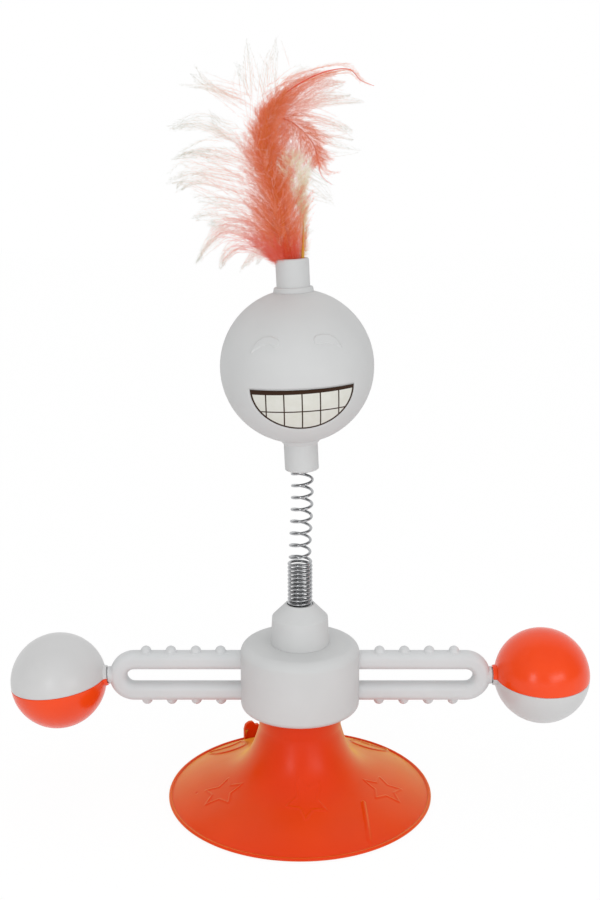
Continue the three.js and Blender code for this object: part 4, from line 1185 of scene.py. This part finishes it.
def thick_barbs(count, random, lowest, highest):
    """Barbs that leave the tall quill and end in the thick of the down, up to 14 mm higher.

    A tip lies at the middle of the thick plus u times its half width, and at v sqrt(1 - u^2), but at least
    0.39 v, times its half depth. Few tips lie past its edge, which makes the edge soft. Roots low down are
    spread over the mouth of the holder. The tint grows towards the tip, and with |u - middle of the colour|
    to the power 1.3.
    """
    height = random.uniform(lowest, highest, count)
    rise = random.uniform(5, 14, count) * (1 - 0.45 * smooth(height, 72, 90))
    quill = np.array(tall_quill, float)

    def on_quill(level):
        return np.stack([np.interp(level, quill[:, 2], quill[:, i]) for i in range(3)], -1)

    top = height + rise
    u = np.clip(random.uniform(-1, 1, count) + random.normal(0, 0.16, count), -1.25, 1.25)
    v = random.uniform(-1, 1, count) * np.sqrt(np.maximum(1 - u**2, 0.15))
    half = np.interp(top, thick_heights, thick_half_widths)
    middle = np.interp(top, thick_heights, thick_middles)
    tip = np.stack([middle + half * u, thick_depth_share * half * v, top], -1)
    root = on_quill(height)
    spread = np.interp(height, [36, 44, 60], [3.6, 3.2, 1.2])
    root[:, 0] += 0.9 + spread * u * random.uniform(0.5, 1, count) - 0.9 * smooth(height, 40, 60)
    root[:, 1] += spread * v * random.uniform(0.5, 1, count)
    lean = on_quill(height + 0.4 * rise) * 0.4 + tip * 0.6
    lean[:, 2] = height + 0.42 * rise
    t = np.linspace(0, 1, 7)
    line = bent(root, lean, tip, t)
    line += random.normal(size=(count, 1, 3)) * np.sin(np.pi * t)[None, :, None] * 0.6
    aside = np.abs(u - np.interp(top, [50, 60, 74, 82, 90], [0.2, 0.15, -0.15, -0.15, 0.05]))
    tint = 0.01 + 0.34 * (aside**1.3)[:, None] * (0.3 + 0.7 * t) + 0.07 * random.normal(size=(count, 1))
    return line, tint


# %% Barbs along a quill, and barbs of a tuft
def quill_barbs(quill, widths, count, random, tints):
    """Barbs along a quill: the root is on it, and the tip is further along and out to the side.

    The barb's point at share t is the quill's point plus t^0.7 times its reach outwards, plus a small waver.
    """
    root = random.uniform(0, 0.88, count) ** 0.9
    ahead = random.uniform(0.08, 0.18, count) * (1 - 0.6 * root**3)
    t = np.linspace(0, 1, 7)
    spine = along(quill, root[:, None] + ahead[:, None] * t)
    width = np.interp(root + ahead, np.linspace(0, 1, len(widths)), widths)
    angle = random.uniform(0, 2 * np.pi, count)
    reach = width * np.sqrt(random.uniform(0.02, 1.15, count))
    way = np.gradient(spine, axis=1)[:, 3]
    way /= np.linalg.norm(way, axis=1, keepdims=True)
    flat = np.cross(way, [0, 1, 0])
    flat /= np.linalg.norm(flat, axis=1, keepdims=True)
    out = flat * np.cos(angle)[:, None] + np.array([0, 0.7, 0]) * np.sin(angle)[:, None]
    offset = (out * reach[:, None])[:, None] * (t**0.7)[None, :, None]
    waver = random.normal(size=(count, 1, 3)) * np.sin(np.pi * t)[None, :, None] * 0.6
    low, high = tints
    tint = low + (high - low) * (reach / width.max())[:, None] * t[None]
    tint = tint + 0.06 * random.normal(size=(count, 1))
    return spine + offset + waver, tint


def tuft_barbs(tuft, random):
    """Barbs of one tuft: its own curve, spread at the root, closing up towards the tip.

    A barb stands off the curve by its own offset times (1 - share)^1.2 + 0.09. Few barbs reach the tip.
    """
    path, depth, count, spread, root_tint, tip_tint = tuft
    last_place = len(path) - 1
    path = [(x, depth_step * depth * i / last_place, z) for i, (x, z) in enumerate(path)]
    t = np.linspace(0, 1, 9)
    first = random.uniform(0, 0.25, count)[:, None]
    last = 1 - 0.5 * random.uniform(0, 1, count)[:, None] ** 1.6
    share = first + (last - first) * t
    line = along(path, share)
    away = random.normal(size=(count, 1, 3)) * [1, 0.7, 1] * spread * 0.8
    closing = (1 - share[..., None]) ** 1.2 + 0.09
    bow = random.normal(size=(count, 1, 3)) * 0.7 * np.sin(np.pi * share)[..., None]
    tint = root_tint + (tip_tint - root_tint) * share**0.8 + 0.04 * random.normal(size=(count, 1))
    return line + away * closing + bow, tint


# %% One piece of down, and its material
def tapered(lines, thick):
    """Radius along hairs: thick (1 - 0.8 t), so a fifth is left at the tip."""
    t = np.linspace(0, 1, lines.shape[1])
    return np.repeat((thick * (1 - 0.8 * t))[None], len(lines), 0)


def downy(name, barbs, material, slot, stands_for, random, thick, fine_thick, spacing, length):
    """One piece of the plume: barbs, and the barbules on them, of the spacing and length that are given."""
    lines = np.concatenate([line for line, _ in barbs])
    tint = np.concatenate([value for _, value in barbs])
    fine, fine_tint = barbules(lines, tint, spacing, length, random)
    coarse = hairs(lines, tapered(lines, thick), tint, random)
    downs = hairs(fine, tapered(fine, fine_thick), fine_tint, random)
    start = len(coarse[0])
    points = np.concatenate([carried(part[0], head_frame) for part in (coarse, downs)])
    triangles = np.concatenate([coarse[1], downs[1] + start])
    quads = np.concatenate([coarse[2], downs[2] + start])
    fields = {"tint": np.clip(np.concatenate([coarse[3], downs[3]]), 0, 1)}
    mesh = mesh_of(name, points, [triangles, quads], fields)
    place(name, mesh, material, "head", slot, stands_for)


# Strength of the painted glow in the down's own colour, which stands in for light scattered inside the down.
painted_scatter_glow = 0.15


def feather(name, stops):
    """Dyed down: the attribute tint runs from the deep colour at the quill to the pale tips.

    Light goes from barb to barb many more times in real down than a render follows, so a share of the
    colour is painted in as a glow (emission), a painted stand-in for that scattered light.
    """
    material, nodes = new_material(name)
    tint = nodes.add("Attribute", {"attribute_name": "tint"}, output="Fac")
    colour = nodes.ramp(tint, [(share, paint(*rgb)) for share, rgb in stops])
    values = {"Base Color": colour, "Roughness": 0.8, "Specular IOR Level": 0.1}
    values |= {"Emission Color": colour, "Emission Strength": painted_scatter_glow}
    coat_with(nodes, values)
    return material


# %% [markdown]
# ## Pieces of the plume
# The thick is made in four pieces, so that none grows too large. Every piece draws from one run of random
# numbers, so the plume comes out the same each time. Each kind of down has its own thickness of barbs and
# barbules, and its own spacing and length of the barbules, all in millimetres.

# %% Pieces of the plume
tip_stops = [(0.86, (238, 222, 208)), (1.0, (182, 185, 167))]
coral_stops = [(0.0, (232, 124, 62)), (0.14, (238, 139, 90)), (0.32, (242, 154, 124)), (0.6, (245, 182, 166))]
coral = feather("coral_feather", coral_stops + tip_stops)
red_stops = [(0.0, (228, 84, 50)), (0.2, (239, 112, 90)), (0.5, (244, 158, 146))]
deep_coral = feather("deep_coral_feather", red_stops + tip_stops)
cream = feather("cream_feather", [(0.0, (238, 208, 158)), (0.35, (240, 228, 198)), (1.0, (244, 243, 230))])
random = np.random.default_rng(11)
# random numbers, radius of barbs, radius of barbules, spacing of barbules, length of barbules
down = (random, 0.06, 0.036, 0.3, 2.9)
tuft_down = (random, 0.05, 0.026, 0.42, 2.2)
wisp = (random, 0.054, 0.028, 0.8, 2.0)
haze = (random, 0.052, 0.028, 0.5, 2.6)
for number, stands_for in enumerate((["feather_coral_tall"], [], [], []), 1):
    barbs = thick_barbs(310, random, 38, 91)
    downy(f"plume_thick_{number}", [barbs], coral, "coral_feather", stands_for, *down)
foot = thick_barbs(240, random, 34, 37.5)
downy("plume_foot", [foot], deep_coral, "coral_feather", [], *down)
curl = quill_barbs(curl_quill, curl_widths, 380, random, (0.12, 0.62))
downy("plume_curl", [curl], coral, "coral_feather", ["feather_coral_curl"], *down)
pale = quill_barbs(cream_quill, cream_widths, 250, random, (0.2, 1.0))
downy("plume_cream", [pale], cream, "cream_feather", ["feather_cream"], *down)
front_quill = [(x - 1.5, -6.0, z) for x, _, z in tall_quill[1:7]]
strays = quill_barbs(front_quill, [5, 10, 12, 12, 12, 8], 70, random, (0.52, 0.62))
downy("plume_strays", [strays], coral, "coral_feather", [], *wisp)
groups = {"crown": (tufts[:7], coral, wisp), "sweep": (tufts[7:13], coral, tuft_down)}
groups |= {"right": (tufts[13:19], coral, wisp), "left": (tufts[19:28], coral, haze)}
groups |= {"low": (tufts[28:], deep_coral, tuft_down)}
for name, (group, material, kind) in groups.items():
    barbs = [tuft_barbs(tuft, random) for tuft in group]
    downy("plume_" + name, barbs, material, "coral_feather", [], *kind)

# %% [markdown]
# ## Quills
# A quill is a thin horn tube. Two are dyed like their down: the tall one shows as a thin red line along the
# sweep, and the other at the end of the curl. The pale one stays the colour of horn and shows as a golden
# line at the mouth of the holder. Each is a tapered tube along its own line, because a curve alone would
# have no thickness to export.

# %% Quills
quill_taper = 0.875
horn = moulded("quill_horn", (228, 176, 60), (206, 150, 42), 0.4, 0.01, 1500)
# A faint painted glow in the red quill's own colour, so that the thin line stays bright among the down.
painted_glow = {"Emission Color": paint(232, 84, 60), "Emission Strength": 0.12}
red_horn = moulded("quill_red", (232, 84, 60), (216, 66, 46), 0.45, 0.01, 1500, extra=painted_glow)


def quill_piece(name, path, thick, material, slot):
    """A tube along the smooth curve through the path, of radius thick (1 - taper t)."""
    t = np.linspace(0, 1, 110)
    line = along(path, t)
    middle = line[:, None]
    rings = middle + (tube(line, 1.0, 12) - middle) * (thick * (1 - quill_taper * t))[:, None, None]
    grid = carried(capped(rings, middle[[0, -1]]), head_frame)
    place(name, skin(name, [(grid, False, False)]), material, "head", slot)


sweep_end = [(x, 0, z) for x, z in sweep_path[2:]]
curl_end = [(12.6, 0, 65.2), (15.2, 0, 63.1)]
pale_foot = [(3.4, -1.6, 35), (3.8, -1.2, 40), (4.3, 0.4, 46), (4.7, 1.8, 52)]
quill_piece("quill_tall", tall_quill + sweep_end, 0.52, red_horn, "coral_feather")
quill_piece("quill_curl", curl_quill + curl_end, 0.34, red_horn, "coral_feather")
quill_piece("quill_cream", pale_foot, 0.75, horn, "cream_feather")

# %% [markdown]
# ## Floor and light
# The photograph has a white ground and soft light from the front. Two soft boxes stand to the left and
# right of the camera, where the glints on the balls show them, and the world fills in from all sides. The
# floor looks white to the camera, and a share of its real shading is kept, so that a faint shadow stays
# under the cup.

# %% Floor, world and lamps
white = (1, 1, 1, 1)


def kinds_of_ray(nodes):
    """1 for rays from the camera or through glass, and 1 for rays off a mirror."""
    rays = nodes.add("LightPath").socket.node.outputs
    kinds = ("Camera", "Transmission", "Glossy")
    straight, glass, mirror = (Wire(nodes, rays[f"Is {kind} Ray"]) for kind in kinds)
    return straight.most(glass), mirror


floor_mesh = bpy.data.meshes.new("floor")
floor_mesh.from_pydata([(-3, -3, 0), (3, -3, 0), (3, 3, 0), (-3, 3, 0)], [], [(0, 1, 2, 3)])
floor_material, nodes = new_material("floor")
by_camera, by_mirror = kinds_of_ray(nodes)
seen = by_camera.most(by_mirror)
matte = nodes.add("BsdfDiffuse", values={"Color": paint(236, 236, 236)})
glow = nodes.add("Emission", values={"Color": white, "Strength": 1.03})
whitened = nodes.add("MixShader", values={0: seen * 0.9, 1: matte, 2: glow})
nodes.add("OutputMaterial", values={"Surface": whitened})
floor_mesh.materials.append(floor_material)
floor = bpy.data.objects.new("floor", floor_mesh)
floor.location.z = -0.0003
bpy.context.scene.collection.objects.link(floor)

# %% World
world = bpy.data.worlds.new("world")
world.use_nodes = True
bpy.context.scene.world = world
nodes = Nodes(world.node_tree)
by_camera, by_mirror = kinds_of_ray(nodes)
generated = nodes.add("TexCoord", output="Generated")
direction = nodes.add("SeparateXYZ", values={"Vector": generated}).socket.node
behind = Wire(nodes, direction.outputs["Y"])
above = Wire(nodes, direction.outputs["Z"])
base_light = 0.34
front_light = 0.2
sky_light = 0.68
ambient = base_light + (0 - behind).rises(-0.1, 1.0) * front_light + above * sky_light
mirrored = 0.22 + behind.rises(-0.1, 0.6) * 0.78
strength = ambient + (mirrored - ambient) * by_mirror + (1 - ambient) * by_camera
background = nodes.add("Background", values={"Color": white, "Strength": strength})
nodes.add("OutputWorld", values={"Surface": background})


# %% Lamps
aim_height = 0.11


def soft_box(name, spot, size, power):
    """A rectangular lamp that faces the toy: its place and its size in millimetres, its power in watts."""
    lamp = bpy.data.lights.new(name, "AREA")
    lamp.shape = "RECTANGLE"
    lamp.size = size[0] * MM
    lamp.size_y = size[1] * MM
    lamp.energy = power
    holder = bpy.data.objects.new(name, lamp)
    holder.location = np.array(spot) * MM
    aim = Vector((0, 0, aim_height)) - holder.location
    holder.rotation_euler = aim.to_track_quat("-Z", "Y").to_euler()
    holder.visible_camera = False
    bpy.context.scene.collection.objects.link(holder)


soft_box("left soft box", (-186, -463, 170), (100, 145), 0.26)
soft_box("right soft box", (309, -425, 170), (290, 120), 0.36)
soft_box("low fill", (0, -540, 60), (760, 110), 0.12)
print("lamps:", [lamp.name for lamp in bpy.data.lights])
